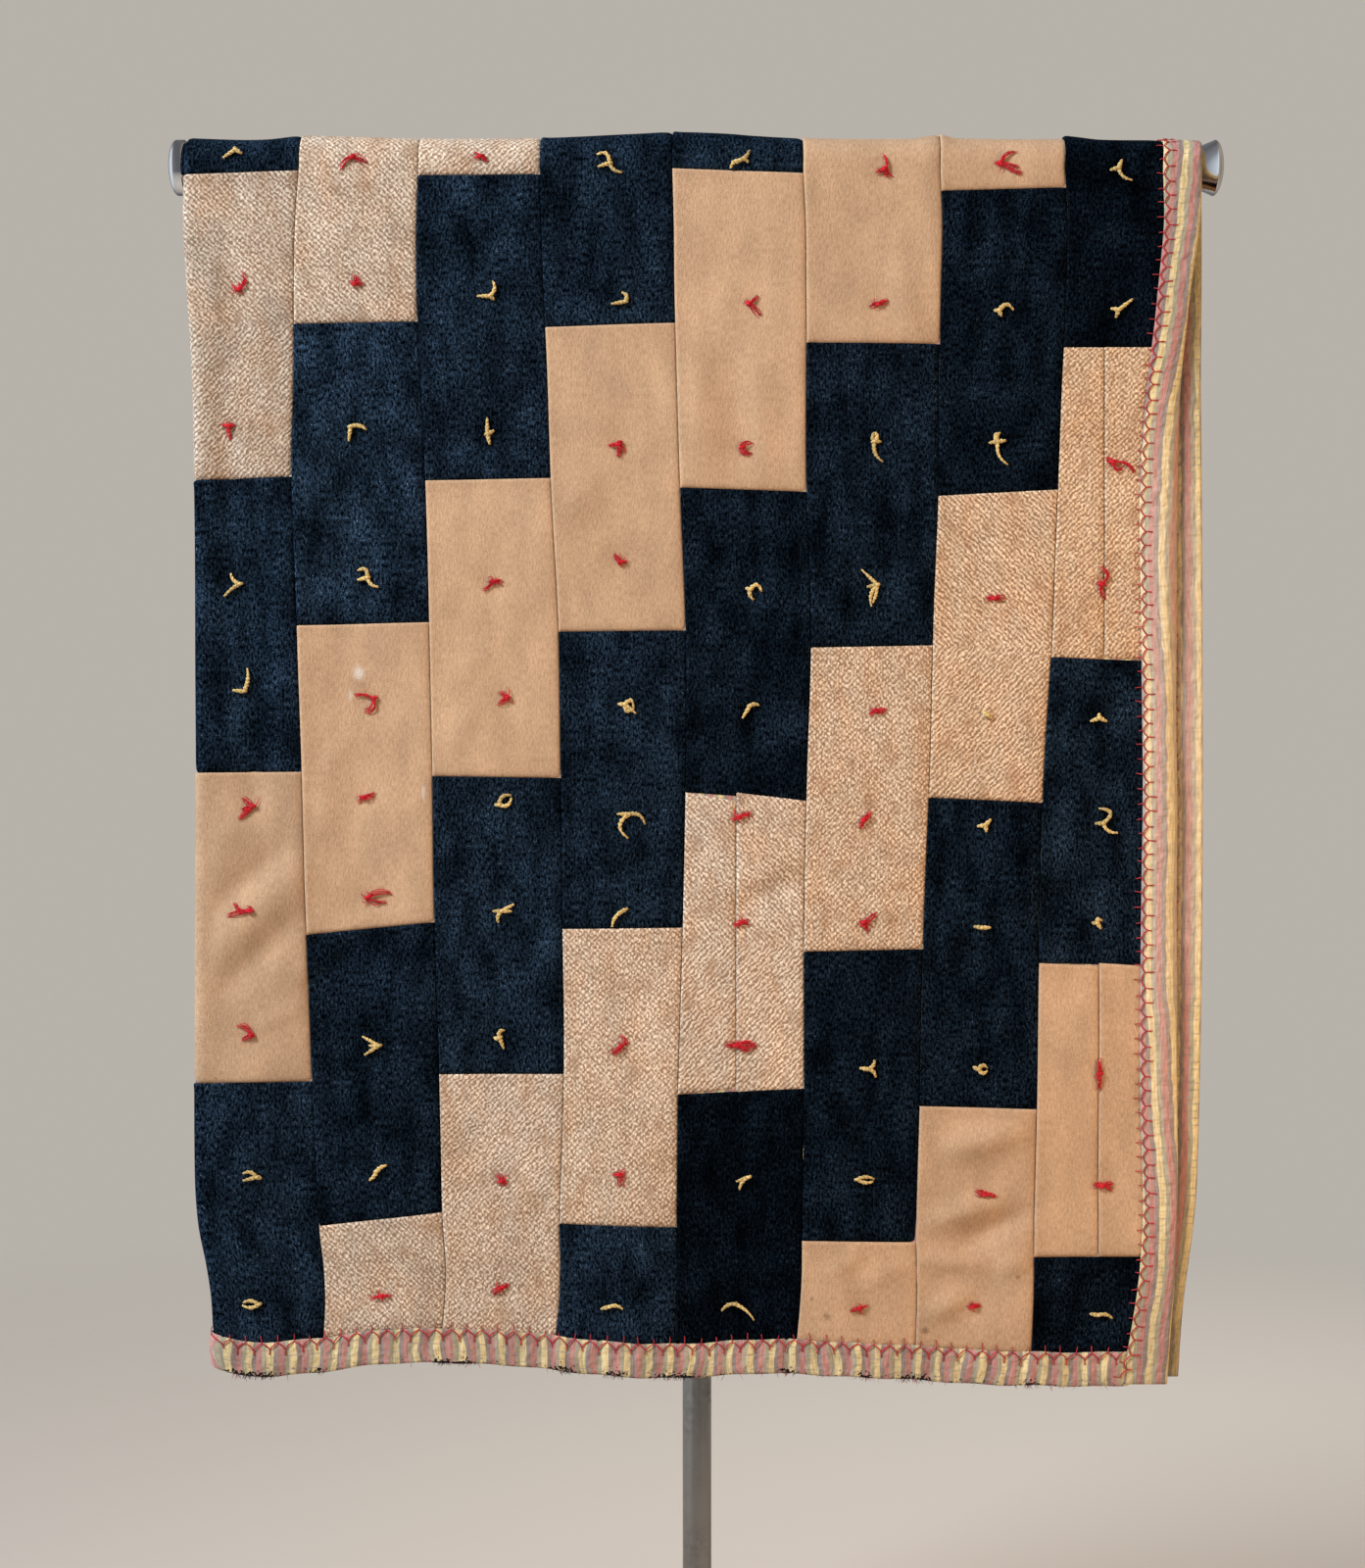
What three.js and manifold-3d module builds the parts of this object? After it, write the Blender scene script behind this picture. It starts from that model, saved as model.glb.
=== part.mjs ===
// Tied patchwork quilt, folded in half lengthwise and hung over the bar of a T-shaped stand.
// Millimetres, +Z up, the front faces -Y. The origin is on the floor, under the middle of the post.

import * as THREE from 'three';
import { mergeVertices } from 'three/addons/utils/BufferGeometryUtils.js';
import Module from 'manifold-3d';

// Stand
const FIT_GAP = 0.3;
const BAR_AXIS_HEIGHT = 1500;
const BAR_RADIUS = 16;
const BAR_HALF_LENGTH = 446;
const CAP_NECK_RADIUS = 19;
const CAP_NECK_LENGTH = 3;
const CAP_SLOPE_LENGTH = 4;
const CAP_RIM_RADIUS = 24;
const CAP_RIM_LENGTH = 3;
const CAP_DOME_HEIGHT = 8;
const CAP_DOME_STEPS = 4;
const POST_RADIUS = 12.7;
const COLLAR_RADIUS = 22;
const COLLAR_HEIGHT = 42;
const COLLAR_BEVEL = 4;
const BASE_RADIUS = 205;
const BASE_THICKNESS = 10;
const BASE_BEVEL = 3;
const ROUND_SIDES = 40;
const BASE_SIDES = 64;

// Quilt
const QUILT_THICKNESS = 4;
const LAYER_GAP = 2.5;
const BAR_CLEARANCE = 0.8;
const BINDING_THICKNESS = 1.2;
const BINDING_GAP = 0.4;
const HEM_BINDING_WIDTH = 30;
const TYPICAL_DROP = 1045;
const INNER_LAYER_SHORTER = 4;
const INNER_FOLLOWS_OUTER = 0.3;
const MIDDLE_SPREAD = 2;
const FOLD_STEPS = 4;
const ARC_STEPS = 8;

// Yarn ties
const KNOT_LENGTH = 18;
const KNOT_WIDTH = 9;
const KNOT_HEIGHT = 5;
const KNOT_WIDTH_ON_BAR = 5;
const KNOT_MAX_TURN = 0.6;
const KNOT_TURN_PER_COLUMN = 2.3;
const KNOT_TURN_PER_ROW = 1.7;
const TIE_CELL_HALF_HEIGHT = 22;

// The hanging layers at several heights. down: share of the drop below the bar. fold: the folded side on the
// left. outerEdge, innerEdge: the bound sides on the right. foldSpread, edgeSpread: how far the outer layer
// stands off the inner one there, beyond the gap at the bar.
const FRONT_SECTIONS = [
  { down: 0.00, fold: -444.0, outerEdge: 438.5, innerEdge: 438.5, foldSpread: 0.0, edgeSpread: 0.0 },
  { down: 0.05, fold: -442.5, outerEdge: 436.0, innerEdge: 439.0, foldSpread: 0.5, edgeSpread: 0.5 },
  { down: 0.11, fold: -440.0, outerEdge: 427.0, innerEdge: 439.0, foldSpread: 1.5, edgeSpread: 2.5 },
  { down: 0.18, fold: -435.5, outerEdge: 420.5, innerEdge: 439.5, foldSpread: 2.5, edgeSpread: 5.0 },
  { down: 0.35, fold: -435.0, outerEdge: 417.0, innerEdge: 440.0, foldSpread: 4.0, edgeSpread: 8.0 },
  { down: 0.51, fold: -435.0, outerEdge: 419.5, innerEdge: 440.0, foldSpread: 5.0, edgeSpread: 9.0 },
  { down: 0.67, fold: -436.0, outerEdge: 418.5, innerEdge: 437.5, foldSpread: 7.0, edgeSpread: 8.0 },
  { down: 0.84, fold: -434.8, outerEdge: 418.0, innerEdge: 434.0, foldSpread: 9.0, edgeSpread: 7.0 },
  { down: 0.92, fold: -423.5, outerEdge: 416.0, innerEdge: 425.5, foldSpread: 10.0, edgeSpread: 6.0 },
  { down: 1.00, fold: -421.0, outerEdge: 411.0, innerEdge: 419.5, foldSpread: 11.0, edgeSpread: 5.0 },
];
const BACK_SECTIONS = [
  { down: 0.00, fold: -444.0, outerEdge: 438.5, innerEdge: 438.5, foldSpread: 0.0, edgeSpread: 0.0 },
  { down: 0.20, fold: -438.0, outerEdge: 429.0, innerEdge: 438.0, foldSpread: 2.0, edgeSpread: 4.0 },
  { down: 0.50, fold: -436.0, outerEdge: 424.0, innerEdge: 437.0, foldSpread: 5.0, edgeSpread: 7.0 },
  { down: 0.80, fold: -434.0, outerEdge: 422.0, innerEdge: 432.0, foldSpread: 8.0, edgeSpread: 6.0 },
  { down: 1.00, fold: -428.0, outerEdge: 418.0, innerEdge: 425.0, foldSpread: 10.0, edgeSpread: 5.0 },
];

// How far the hems hang below the bar axis, across the quilt.
const FRONT_HEM = [
  { x: -421, drop: 1038 },
  { x: -390, drop: 1046 },
  { x: -340, drop: 1044 },
  { x: -265, drop: 1035 },
  { x: -163, drop: 1037 },
  { x: -95, drop: 1044 },
  { x: -10, drop: 1047 },
  { x: 75, drop: 1043 },
  { x: 160, drop: 1047 },
  { x: 310, drop: 1053 },
  { x: 411, drop: 1050 },
];
const BACK_HEM = [
  { x: -428, drop: 1036 },
  { x: -260, drop: 1045 },
  { x: -40, drop: 1038 },
  { x: 210, drop: 1047 },
  { x: 418, drop: 1040 },
];

// How much the outer layer stands up over the bar, where seams and knots lie on it.
const TOP_LINE = [
  { x: -444, rise: 0 },
  { x: -345, rise: 2 },
  { x: -240, rise: -1 },
  { x: -136, rise: 0.5 },
  { x: -20, rise: 5 },
  { x: 90, rise: 3 },
  { x: 320, rise: 1 },
  { x: 438, rise: 0 },
];

// Soft upright folds of the outer layer. x: place at the top end. lean: sideways shift over the whole drop.
// top, bottom: shares of the drop between which the fold swells and dies out.
const FRONT_FOLDS = [
  { x: -410, lean: -8, top: 0.01, bottom: 0.55, width: 22, height: 5.0 },
  { x: -345, lean: -12, top: 0.15, bottom: 0.80, width: 30, height: 4.0 },
  { x: -405, lean: 10, top: 0.50, bottom: 1.50, width: 30, height: 6.0 },
  { x: -230, lean: -20, top: 0.30, bottom: 1.60, width: 45, height: 3.5 },
  { x: -70, lean: 10, top: 0.40, bottom: 1.70, width: 50, height: 4.5 },
  { x: 130, lean: -15, top: 0.35, bottom: 1.60, width: 50, height: 3.5 },
  { x: 300, lean: -20, top: 0.10, bottom: 1.20, width: 45, height: 4.0 },
];
const BACK_FOLDS = [
  { x: -400, lean: 10, top: 0.05, bottom: 1.40, width: 35, height: 6.0 },
  { x: -210, lean: 25, top: 0.20, bottom: 1.60, width: 50, height: 4.5 },
  { x: 20, lean: -20, top: 0.25, bottom: 1.70, width: 55, height: 5.0 },
  { x: 250, lean: -25, top: 0.10, bottom: 1.50, width: 45, height: 4.5 },
];

// Patch columns: share of the width, from the fold to the bound edge, where each column ends.
const COLUMN_SEAMS = [0.110, 0.235, 0.358, 0.486, 0.615, 0.742, 0.863, 0.958];
const INNER_LINES = [0, 0.15, 0.30, 0.45, 0.60, 0.75, 0.88, 0.958, 1];
const TIE_CELL_START = 0.3;
const TIE_CELL_END = 0.7;

// Rows of ties, as shares of the drop. A further row lies on the front of the bar.
const FRONT_TIE_ROWS = [0.103, 0.224, 0.343, 0.445, 0.533, 0.620, 0.730, 0.837, 0.941];
const BACK_TIE_ROWS = [0.040, 0.148, 0.256, 0.364, 0.472, 0.580, 0.688, 0.796, 0.904];

// Where the bound side lies, both layers stand off the bar by the binding turned under it.
const EDGE_LIFT_START = 0.863;
const EDGE_LIFT_END = 0.93;
const EDGE_LIFT = BINDING_GAP + BINDING_THICKNESS;

const INNER_DEPTH = BAR_RADIUS + BAR_CLEARANCE + QUILT_THICKNESS / 2;
const OUTER_DEPTH = INNER_DEPTH + QUILT_THICKNESS + LAYER_GAP;
const HEM_LINE = HEM_BINDING_WIDTH / TYPICAL_DROP;
const BINDING_START = COLUMN_SEAMS[COLUMN_SEAMS.length - 1];
const STEP = 1e-4;

// Both ways over the sheet, across and along, run from 0 to this.
const SHEET_END = 3;

const { clamp, lerp, smoothstep } = THREE.MathUtils;

// Smooth curve through a table's rows: reads the column named value at a place along the column named place.
function curveThrough(rows, place, value) {
  const slopeAt = (index) => {
    const before = rows[Math.max(index - 1, 0)];
    const after = rows[Math.min(index + 1, rows.length - 1)];
    return (after[value] - before[value]) / (after[place] - before[place]);
  };
  return (at) => {
    const inside = clamp(at, rows[0][place], rows[rows.length - 1][place]);
    const next = Math.max(1, rows.findIndex((row) => row[place] >= inside));
    const from = rows[next - 1];
    const to = rows[next];
    const span = to[place] - from[place];
    const t = (inside - from[place]) / span;
    const rise = t * t * (3 - 2 * t);
    const startBend = t * (1 - t) * (1 - t) * span * slopeAt(next - 1);
    const endBend = t * t * (t - 1) * span * slopeAt(next);
    return lerp(from[value], to[value], rise) + startBend + endBend;
  };
}

// One side of the hanging quilt, read from its tables.
function hangingSide(sections, hem, folds) {
  return {
    fold: curveThrough(sections, 'down', 'fold'),
    outerEdge: curveThrough(sections, 'down', 'outerEdge'),
    innerEdge: curveThrough(sections, 'down', 'innerEdge'),
    foldSpread: curveThrough(sections, 'down', 'foldSpread'),
    edgeSpread: curveThrough(sections, 'down', 'edgeSpread'),
    drop: curveThrough(hem, 'x', 'drop'),
    folds,
  };
}

const FRONT = hangingSide(FRONT_SECTIONS, FRONT_HEM, FRONT_FOLDS);
const BACK = hangingSide(BACK_SECTIONS, BACK_HEM, BACK_FOLDS);
const topRise = curveThrough(TOP_LINE, 'x', 'rise');

// Height of the soft folds at a place across and a share of the drop.
function foldRelief(side, x, down) {
  return side.folds.reduce((sum, fold) => {
    const along = clamp((down - fold.top) / (fold.bottom - fold.top), 0, 1);
    const away = (x - fold.x - fold.lean * down) / fold.width;
    return sum + fold.height * Math.sin(Math.PI * along) * Math.exp(-away * away);
  }, 0);
}

// Extra distance of the outer layer from the inner one: open at the fold and at the bound edge.
function layerSpread(side, share, x, down) {
  const atFold = side.foldSpread(down) * (1 - share) ** 2;
  const atEdge = side.edgeSpread(down) * share ** 2;
  const inMiddle = MIDDLE_SPREAD * Math.sqrt(down) * share * (1 - share);
  return atFold + atEdge + inMiddle + foldRelief(side, x, down);
}

function edgeLift(share) {
  return EDGE_LIFT * clamp((share - EDGE_LIFT_START) / (EDGE_LIFT_END - EDGE_LIFT_START), 0, 1);
}

// Where a layer's middle lies at one height: x, and depth, the distance out from the plane of the post.
// across runs 0 to 1 over the outer layer, from its bound edge to the fold, 1 to 2 round the fold, and 2 to 3
// over the inner layer, from the fold to its bound edge.
function crossSection(side, down, across) {
  const spreadAtFold = layerSpread(side, 0, side.fold(down), down);
  const foldInner = INNER_DEPTH + INNER_FOLLOWS_OUTER * spreadAtFold;
  const foldOuter = OUTER_DEPTH + spreadAtFold;
  const foldHalf = (foldOuter - foldInner) / 2;
  const foldCentre = side.fold(down) + QUILT_THICKNESS / 2 + foldHalf;
  if (across > 1 && across < 2) {
    const angle = (across - 1) * Math.PI;
    const depth = (foldOuter + foldInner) / 2 + foldHalf * Math.cos(angle);
    return { x: foldCentre - foldHalf * Math.sin(angle), depth, share: 0, inner: across - 1 };
  }
  const onOuter = across <= 1;
  const share = onOuter ? 1 - across : across - 2;
  const edge = (onOuter ? side.outerEdge(down) : side.innerEdge(down)) - BINDING_GAP - BINDING_THICKNESS;
  const x = lerp(foldCentre, edge, share);
  const awayFromFold = smoothstep(share, 0, COLUMN_SEAMS[0]);
  const spread = lerp(spreadAtFold, layerSpread(side, share, x, down), awayFromFold);
  const depth = onOuter ? OUTER_DEPTH + spread : INNER_DEPTH + INNER_FOLLOWS_OUTER * spread;
  return { x, depth: depth + edgeLift(share), share, inner: onOuter ? 0 : 1 };
}

// A point of the quilt's middle surface. along runs 0 to 1 from the front hem up to the bar, 1 to 2 over the
// bar, and 2 to 3 from the bar down to the back hem.
function quiltMiddle(across, along) {
  if (along > 1 && along < 2) {
    const angle = (along - 1) * Math.PI;
    const { x, depth, inner } = crossSection(FRONT, 0, across);
    const radius = depth + (1 - inner) * topRise(x) * Math.sin(angle);
    return new THREE.Vector3(x, -radius * Math.cos(angle), BAR_AXIS_HEIGHT + radius * Math.sin(angle));
  }
  const onFront = along <= 1;
  const side = onFront ? FRONT : BACK;
  const down = onFront ? 1 - along : along - 2;
  const { x, depth, inner, share } = crossSection(side, down, across);
  const drop = side.drop(x) - INNER_LAYER_SHORTER * inner * share;
  return new THREE.Vector3(x, onFront ? -depth : depth, BAR_AXIS_HEIGHT - down * drop);
}

// The middle point with its directions: toward the next across and along, and out of the pieced face.
function quiltFrame(across, along) {
  const point = quiltMiddle(across, along);
  const acrossWay = quiltMiddle(Math.min(across + STEP, SHEET_END), along)
    .sub(quiltMiddle(Math.max(across - STEP, 0), along)).normalize();
  const alongWay = quiltMiddle(across, Math.min(along + STEP, SHEET_END))
    .sub(quiltMiddle(across, Math.max(along - STEP, 0))).normalize();
  const faceWay = alongWay.clone().cross(acrossWay).normalize();
  return { point, acrossWay, alongWay, faceWay };
}

function offsetFrom(frame, out, acrossShift = 0, alongShift = 0) {
  return frame.point.clone()
    .addScaledVector(frame.faceWay, out)
    .addScaledVector(frame.acrossWay, acrossShift)
    .addScaledVector(frame.alongWay, alongShift);
}

// Lines of the sheet across its width, and the cells that hold a tie in the middle of each patch column.
function acrossLines() {
  const lines = [0];
  const tieCells = new Set();
  const starts = [0, ...COLUMN_SEAMS];
  for (let column = COLUMN_SEAMS.length; column > 0; column -= 1) {
    const from = 1 - COLUMN_SEAMS[column - 1];
    const width = COLUMN_SEAMS[column - 1] - starts[column - 1];
    lines.push(from, from + TIE_CELL_START * width, from + TIE_CELL_END * width);
    tieCells.add(lines.length - 2);
  }
  for (let step = 0; step < FOLD_STEPS; step += 1) {
    lines.push(1 + step / FOLD_STEPS);
  }
  lines.push(...INNER_LINES.map((share) => 2 + share));
  return { lines, tieCells };
}

// Lines of the sheet along its length, and the cells that hold a row of ties.
function alongLines() {
  const half = TIE_CELL_HALF_HEIGHT / TYPICAL_DROP;
  const lines = [0, HEM_LINE];
  const tieCells = new Set();
  for (const row of [...FRONT_TIE_ROWS].reverse()) {
    tieCells.add(lines.length);
    lines.push(1 - row - half, 1 - row + half);
  }
  const barCell = lines.length;
  tieCells.add(barCell);
  for (let step = 0; step <= ARC_STEPS; step += 1) {
    lines.push(1 + step / ARC_STEPS);
  }
  for (const row of BACK_TIE_ROWS) {
    tieCells.add(lines.length);
    lines.push(2 + row - half, 2 + row + half);
  }
  lines.push(SHEET_END - HEM_LINE, SHEET_END);
  return { lines, tieCells, barCell };
}

// Collects points and triangles of one closed skin.
class Skin {
  constructor() {
    this.positions = [];
    this.indices = [];
  }

  add(point) {
    this.positions.push(point.x, point.y, point.z);
    return this.positions.length / 3 - 1;
  }

  triangle(a, b, c) {
    this.indices.push(a, b, c);
  }

  quad(a, b, c, d) {
    this.triangle(a, b, c);
    this.triangle(a, c, d);
  }

  geometry() {
    const geometry = new THREE.BufferGeometry();
    geometry.setAttribute('position', new THREE.Float32BufferAttribute(this.positions, 3));
    geometry.setIndex(this.indices);
    geometry.computeVertexNormals();
    return geometry;
  }
}

// A raised knot in one cell of the pieced face: a small hipped ridge on a turned footprint.
// The cell's corners run round it, seen from outside, and corners[0] to corners[3] is the way across.
function addKnot(skin, corners, faceWay, width, turn) {
  const points = corners.map((index) => new THREE.Vector3().fromArray(skin.positions, index * 3));
  const cellWidth = points[0].distanceTo(points[3]);
  const cellHeight = points[0].distanceTo(points[1]);
  const inCell = (right, up) => {
    const p = 0.5 + (right * Math.cos(turn) - up * Math.sin(turn)) / cellWidth;
    const q = 0.5 + (right * Math.sin(turn) + up * Math.cos(turn)) / cellHeight;
    const low = points[0].clone().lerp(points[3], p);
    const high = points[1].clone().lerp(points[2], p);
    return low.lerp(high, q);
  };
  const footprint = [[-1, -1], [-1, 1], [1, 1], [1, -1]]
    .map(([right, up]) => skin.add(inCell(right * KNOT_LENGTH / 2, up * width / 2)));
  const ridge = [-1, 1]
    .map((right) => skin.add(inCell(right * KNOT_LENGTH / 4, 0).addScaledVector(faceWay, KNOT_HEIGHT)));
  for (let corner = 0; corner < 4; corner += 1) {
    const next = (corner + 1) % 4;
    skin.quad(corners[corner], corners[next], footprint[next], footprint[corner]);
  }
  skin.triangle(footprint[0], footprint[1], ridge[0]);
  skin.quad(footprint[1], footprint[2], ridge[1], ridge[0]);
  skin.triangle(footprint[2], footprint[3], ridge[1]);
  skin.quad(footprint[3], footprint[0], ridge[0], ridge[1]);
}

// The whole quilt: one sheet with both faces, its rims, and a knot wherever a tie column meets a tie row.
function quiltGeometry() {
  const across = acrossLines();
  const along = alongLines();
  const frames = across.lines.map((a) => along.lines.map((b) => quiltFrame(a, b)));
  const skin = new Skin();
  const half = QUILT_THICKNESS / 2;
  const face = frames.map((line) => line.map((frame) => skin.add(offsetFrom(frame, half))));
  const backing = frames.map((line) => line.map((frame) => skin.add(offsetFrom(frame, -half))));
  const lastAcross = across.lines.length - 1;
  const lastAlong = along.lines.length - 1;
  for (let i = 0; i < lastAcross; i += 1) {
    for (let j = 0; j < lastAlong; j += 1) {
      const corners = [face[i][j], face[i][j + 1], face[i + 1][j + 1], face[i + 1][j]];
      if (across.tieCells.has(i) && along.tieCells.has(j)) {
        const onBar = j === along.barCell;
        const turn = onBar ? 0 : KNOT_MAX_TURN * Math.sin(i * KNOT_TURN_PER_COLUMN + j * KNOT_TURN_PER_ROW);
        addKnot(skin, corners, frames[i][j].faceWay, onBar ? KNOT_WIDTH_ON_BAR : KNOT_WIDTH, turn);
      } else {
        skin.quad(...corners);
      }
      skin.quad(backing[i][j], backing[i + 1][j], backing[i + 1][j + 1], backing[i][j + 1]);
    }
    skin.quad(face[i][0], face[i + 1][0], backing[i + 1][0], backing[i][0]);
    skin.quad(face[i + 1][lastAlong], face[i][lastAlong], backing[i][lastAlong], backing[i + 1][lastAlong]);
  }
  const [firstFace, lastFace] = [face[0], face[lastAcross]];
  const [firstBacking, lastBacking] = [backing[0], backing[lastAcross]];
  for (let j = 0; j < lastAlong; j += 1) {
    skin.quad(firstFace[j + 1], firstFace[j], firstBacking[j], firstBacking[j + 1]);
    skin.quad(lastFace[j], lastFace[j + 1], lastBacking[j + 1], lastBacking[j]);
  }
  return skin.geometry();
}

// A strip with an L section: a flange on the pieced face and a lip over the cut edge. Each section lists six
// points: flange under side, inner corner, lip end inside, lip end outside, outer corner, flange top side.
function stripGeometry(sections, turnedOver) {
  const skin = new Skin();
  const rings = sections.map((section) => section.map((point) => skin.add(point)));
  const facing = (a, b, c, d) => (turnedOver ? skin.quad(d, c, b, a) : skin.quad(a, b, c, d));
  for (let row = 0; row + 1 < rings.length; row += 1) {
    rings[row].forEach((point, corner) => {
      const next = (corner + 1) % rings[row].length;
      facing(point, rings[row][next], rings[row + 1][next], rings[row + 1][corner]);
    });
  }
  const first = rings[0];
  const last = rings[rings.length - 1];
  facing(first[0], first[5], first[4], first[1]);
  facing(first[1], first[4], first[3], first[2]);
  facing(last[0], last[1], last[4], last[5]);
  facing(last[1], last[2], last[3], last[4]);
  return skin.geometry();
}

const UNDER = QUILT_THICKNESS / 2 + BINDING_GAP;
const OVER = UNDER + BINDING_THICKNESS;
const LIP_INSIDE = BINDING_GAP;
const LIP_OUTSIDE = BINDING_GAP + BINDING_THICKNESS;

// Binding along a bound side: edgeAcross is the cut edge, flangeAcross the flange's end on the pieced face.
function sideBindingGeometry(edgeAcross, flangeAcross) {
  const outward = Math.sign(edgeAcross - flangeAcross);
  const sections = alongLines().lines.map((line) => {
    const edge = quiltFrame(edgeAcross, line);
    const flange = quiltFrame(flangeAcross, line);
    return [
      offsetFrom(flange, UNDER),
      offsetFrom(edge, UNDER, outward * LIP_INSIDE),
      offsetFrom(edge, -QUILT_THICKNESS / 2, outward * LIP_INSIDE),
      offsetFrom(edge, -QUILT_THICKNESS / 2, outward * LIP_OUTSIDE),
      offsetFrom(edge, OVER, outward * LIP_OUTSIDE),
      offsetFrom(flange, OVER),
    ];
  });
  return stripGeometry(sections, outward < 0);
}

// Binding along a hem, round the fold, between the two side bindings.
function hemBindingGeometry(edgeAlong, flangeAlong) {
  const outward = Math.sign(edgeAlong - flangeAlong);
  const clear = BINDING_GAP / (FRONT_SECTIONS[0].outerEdge - FRONT_SECTIONS[0].fold);
  const start = 1 - BINDING_START + clear;
  const end = 2 + BINDING_START - clear;
  const between = acrossLines().lines.filter((line) => line > start + clear && line < end - clear);
  const sections = [start, ...between, end].map((line) => {
    const edge = quiltFrame(line, edgeAlong);
    const flange = quiltFrame(line, flangeAlong);
    return [
      offsetFrom(flange, UNDER),
      offsetFrom(edge, UNDER, 0, outward * LIP_INSIDE),
      offsetFrom(edge, -QUILT_THICKNESS / 2, 0, outward * LIP_INSIDE),
      offsetFrom(edge, -QUILT_THICKNESS / 2, 0, outward * LIP_OUTSIDE),
      offsetFrom(edge, OVER, 0, outward * LIP_OUTSIDE),
      offsetFrom(flange, OVER),
    ];
  });
  return stripGeometry(sections, outward > 0);
}

const wasm = await Module();
wasm.setup();

// A closed geometry as a solid that can be cut.
function solidOf(geometry) {
  const bare = geometry.clone();
  bare.deleteAttribute('normal');
  bare.deleteAttribute('uv');
  const merged = mergeVertices(bare);
  return new wasm.Manifold(new wasm.Mesh({
    numProp: 3,
    vertProperties: new Float32Array(merged.attributes.position.array),
    triVerts: new Uint32Array(merged.index.array),
  }));
}

function geometryOf(solid) {
  const { vertProperties, triVerts } = solid.getMesh();
  const geometry = new THREE.BufferGeometry();
  geometry.setAttribute('position', new THREE.Float32BufferAttribute(vertProperties, 3));
  geometry.setIndex([...triVerts]);
  geometry.computeVertexNormals();
  return geometry;
}

function cylinderAlongX(radius, length) {
  return new THREE.CylinderGeometry(radius, radius, length, ROUND_SIDES).rotateZ(Math.PI / 2);
}

// The post stands on the base and is coped to the underside of the bar.
function postGeometry() {
  const foot = BASE_THICKNESS + FIT_GAP;
  const post = new THREE.CylinderGeometry(POST_RADIUS, POST_RADIUS, BAR_AXIS_HEIGHT - foot, ROUND_SIDES)
    .rotateX(Math.PI / 2)
    .translate(0, 0, (BAR_AXIS_HEIGHT + foot) / 2);
  const cope = cylinderAlongX(BAR_RADIUS + FIT_GAP, 4 * POST_RADIUS).translate(0, 0, BAR_AXIS_HEIGHT);
  return geometryOf(solidOf(post).subtract(solidOf(cope)));
}

// Mushroom cap, turned about its own axis: neck, sloped back, rim and shallow dome.
function capGeometry() {
  const rimStart = CAP_NECK_LENGTH + CAP_SLOPE_LENGTH;
  const domeStart = rimStart + CAP_RIM_LENGTH;
  const profile = [
    new THREE.Vector2(0, 0),
    new THREE.Vector2(CAP_NECK_RADIUS, 0),
    new THREE.Vector2(CAP_NECK_RADIUS, CAP_NECK_LENGTH),
    new THREE.Vector2(CAP_RIM_RADIUS, rimStart),
  ];
  for (let step = 0; step < CAP_DOME_STEPS; step += 1) {
    const angle = (step / CAP_DOME_STEPS) * (Math.PI / 2);
    const height = domeStart + CAP_DOME_HEIGHT * Math.sin(angle);
    profile.push(new THREE.Vector2(CAP_RIM_RADIUS * Math.cos(angle), height));
  }
  profile.push(new THREE.Vector2(0, domeStart + CAP_DOME_HEIGHT));
  return new THREE.LatheGeometry(profile, ROUND_SIDES);
}

function collarGeometry() {
  const bore = POST_RADIUS + FIT_GAP;
  const profile = [
    new THREE.Vector2(bore, 0),
    new THREE.Vector2(COLLAR_RADIUS, 0),
    new THREE.Vector2(COLLAR_RADIUS, COLLAR_HEIGHT - COLLAR_BEVEL),
    new THREE.Vector2(COLLAR_RADIUS - COLLAR_BEVEL, COLLAR_HEIGHT),
    new THREE.Vector2(bore, COLLAR_HEIGHT),
    new THREE.Vector2(bore, 0),
  ];
  return new THREE.LatheGeometry(profile, ROUND_SIDES);
}

function baseGeometry() {
  const profile = [
    new THREE.Vector2(0, 0),
    new THREE.Vector2(BASE_RADIUS, 0),
    new THREE.Vector2(BASE_RADIUS, BASE_THICKNESS - BASE_BEVEL),
    new THREE.Vector2(BASE_RADIUS - BASE_BEVEL, BASE_THICKNESS),
    new THREE.Vector2(0, BASE_THICKNESS),
  ];
  return new THREE.LatheGeometry(profile, BASE_SIDES);
}

const WOOL_NAVY = { color: 0x1b2433, roughness: 0.95, metalness: 0 };
const STRIPED_COTTON = { color: 0xcdb39a, roughness: 0.9, metalness: 0 };
const CHROME = { color: 0xc9ced2, roughness: 0.12, metalness: 1 };

function namedMesh(name, geometry, finish) {
  const mesh = new THREE.Mesh(geometry, new THREE.MeshStandardMaterial(finish));
  mesh.name = name;
  return mesh;
}

function quiltGroup() {
  const group = new THREE.Group();
  group.add(
    namedMesh('quilt', quiltGeometry(), WOOL_NAVY),
    namedMesh('binding_outer_side', sideBindingGeometry(0, 1 - BINDING_START), STRIPED_COTTON),
    namedMesh('binding_inner_side', sideBindingGeometry(SHEET_END, 2 + BINDING_START), STRIPED_COTTON),
    namedMesh('binding_front_hem', hemBindingGeometry(0, HEM_LINE), STRIPED_COTTON),
    namedMesh('binding_back_hem', hemBindingGeometry(SHEET_END, SHEET_END - HEM_LINE), STRIPED_COTTON),
  );
  return group;
}

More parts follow.
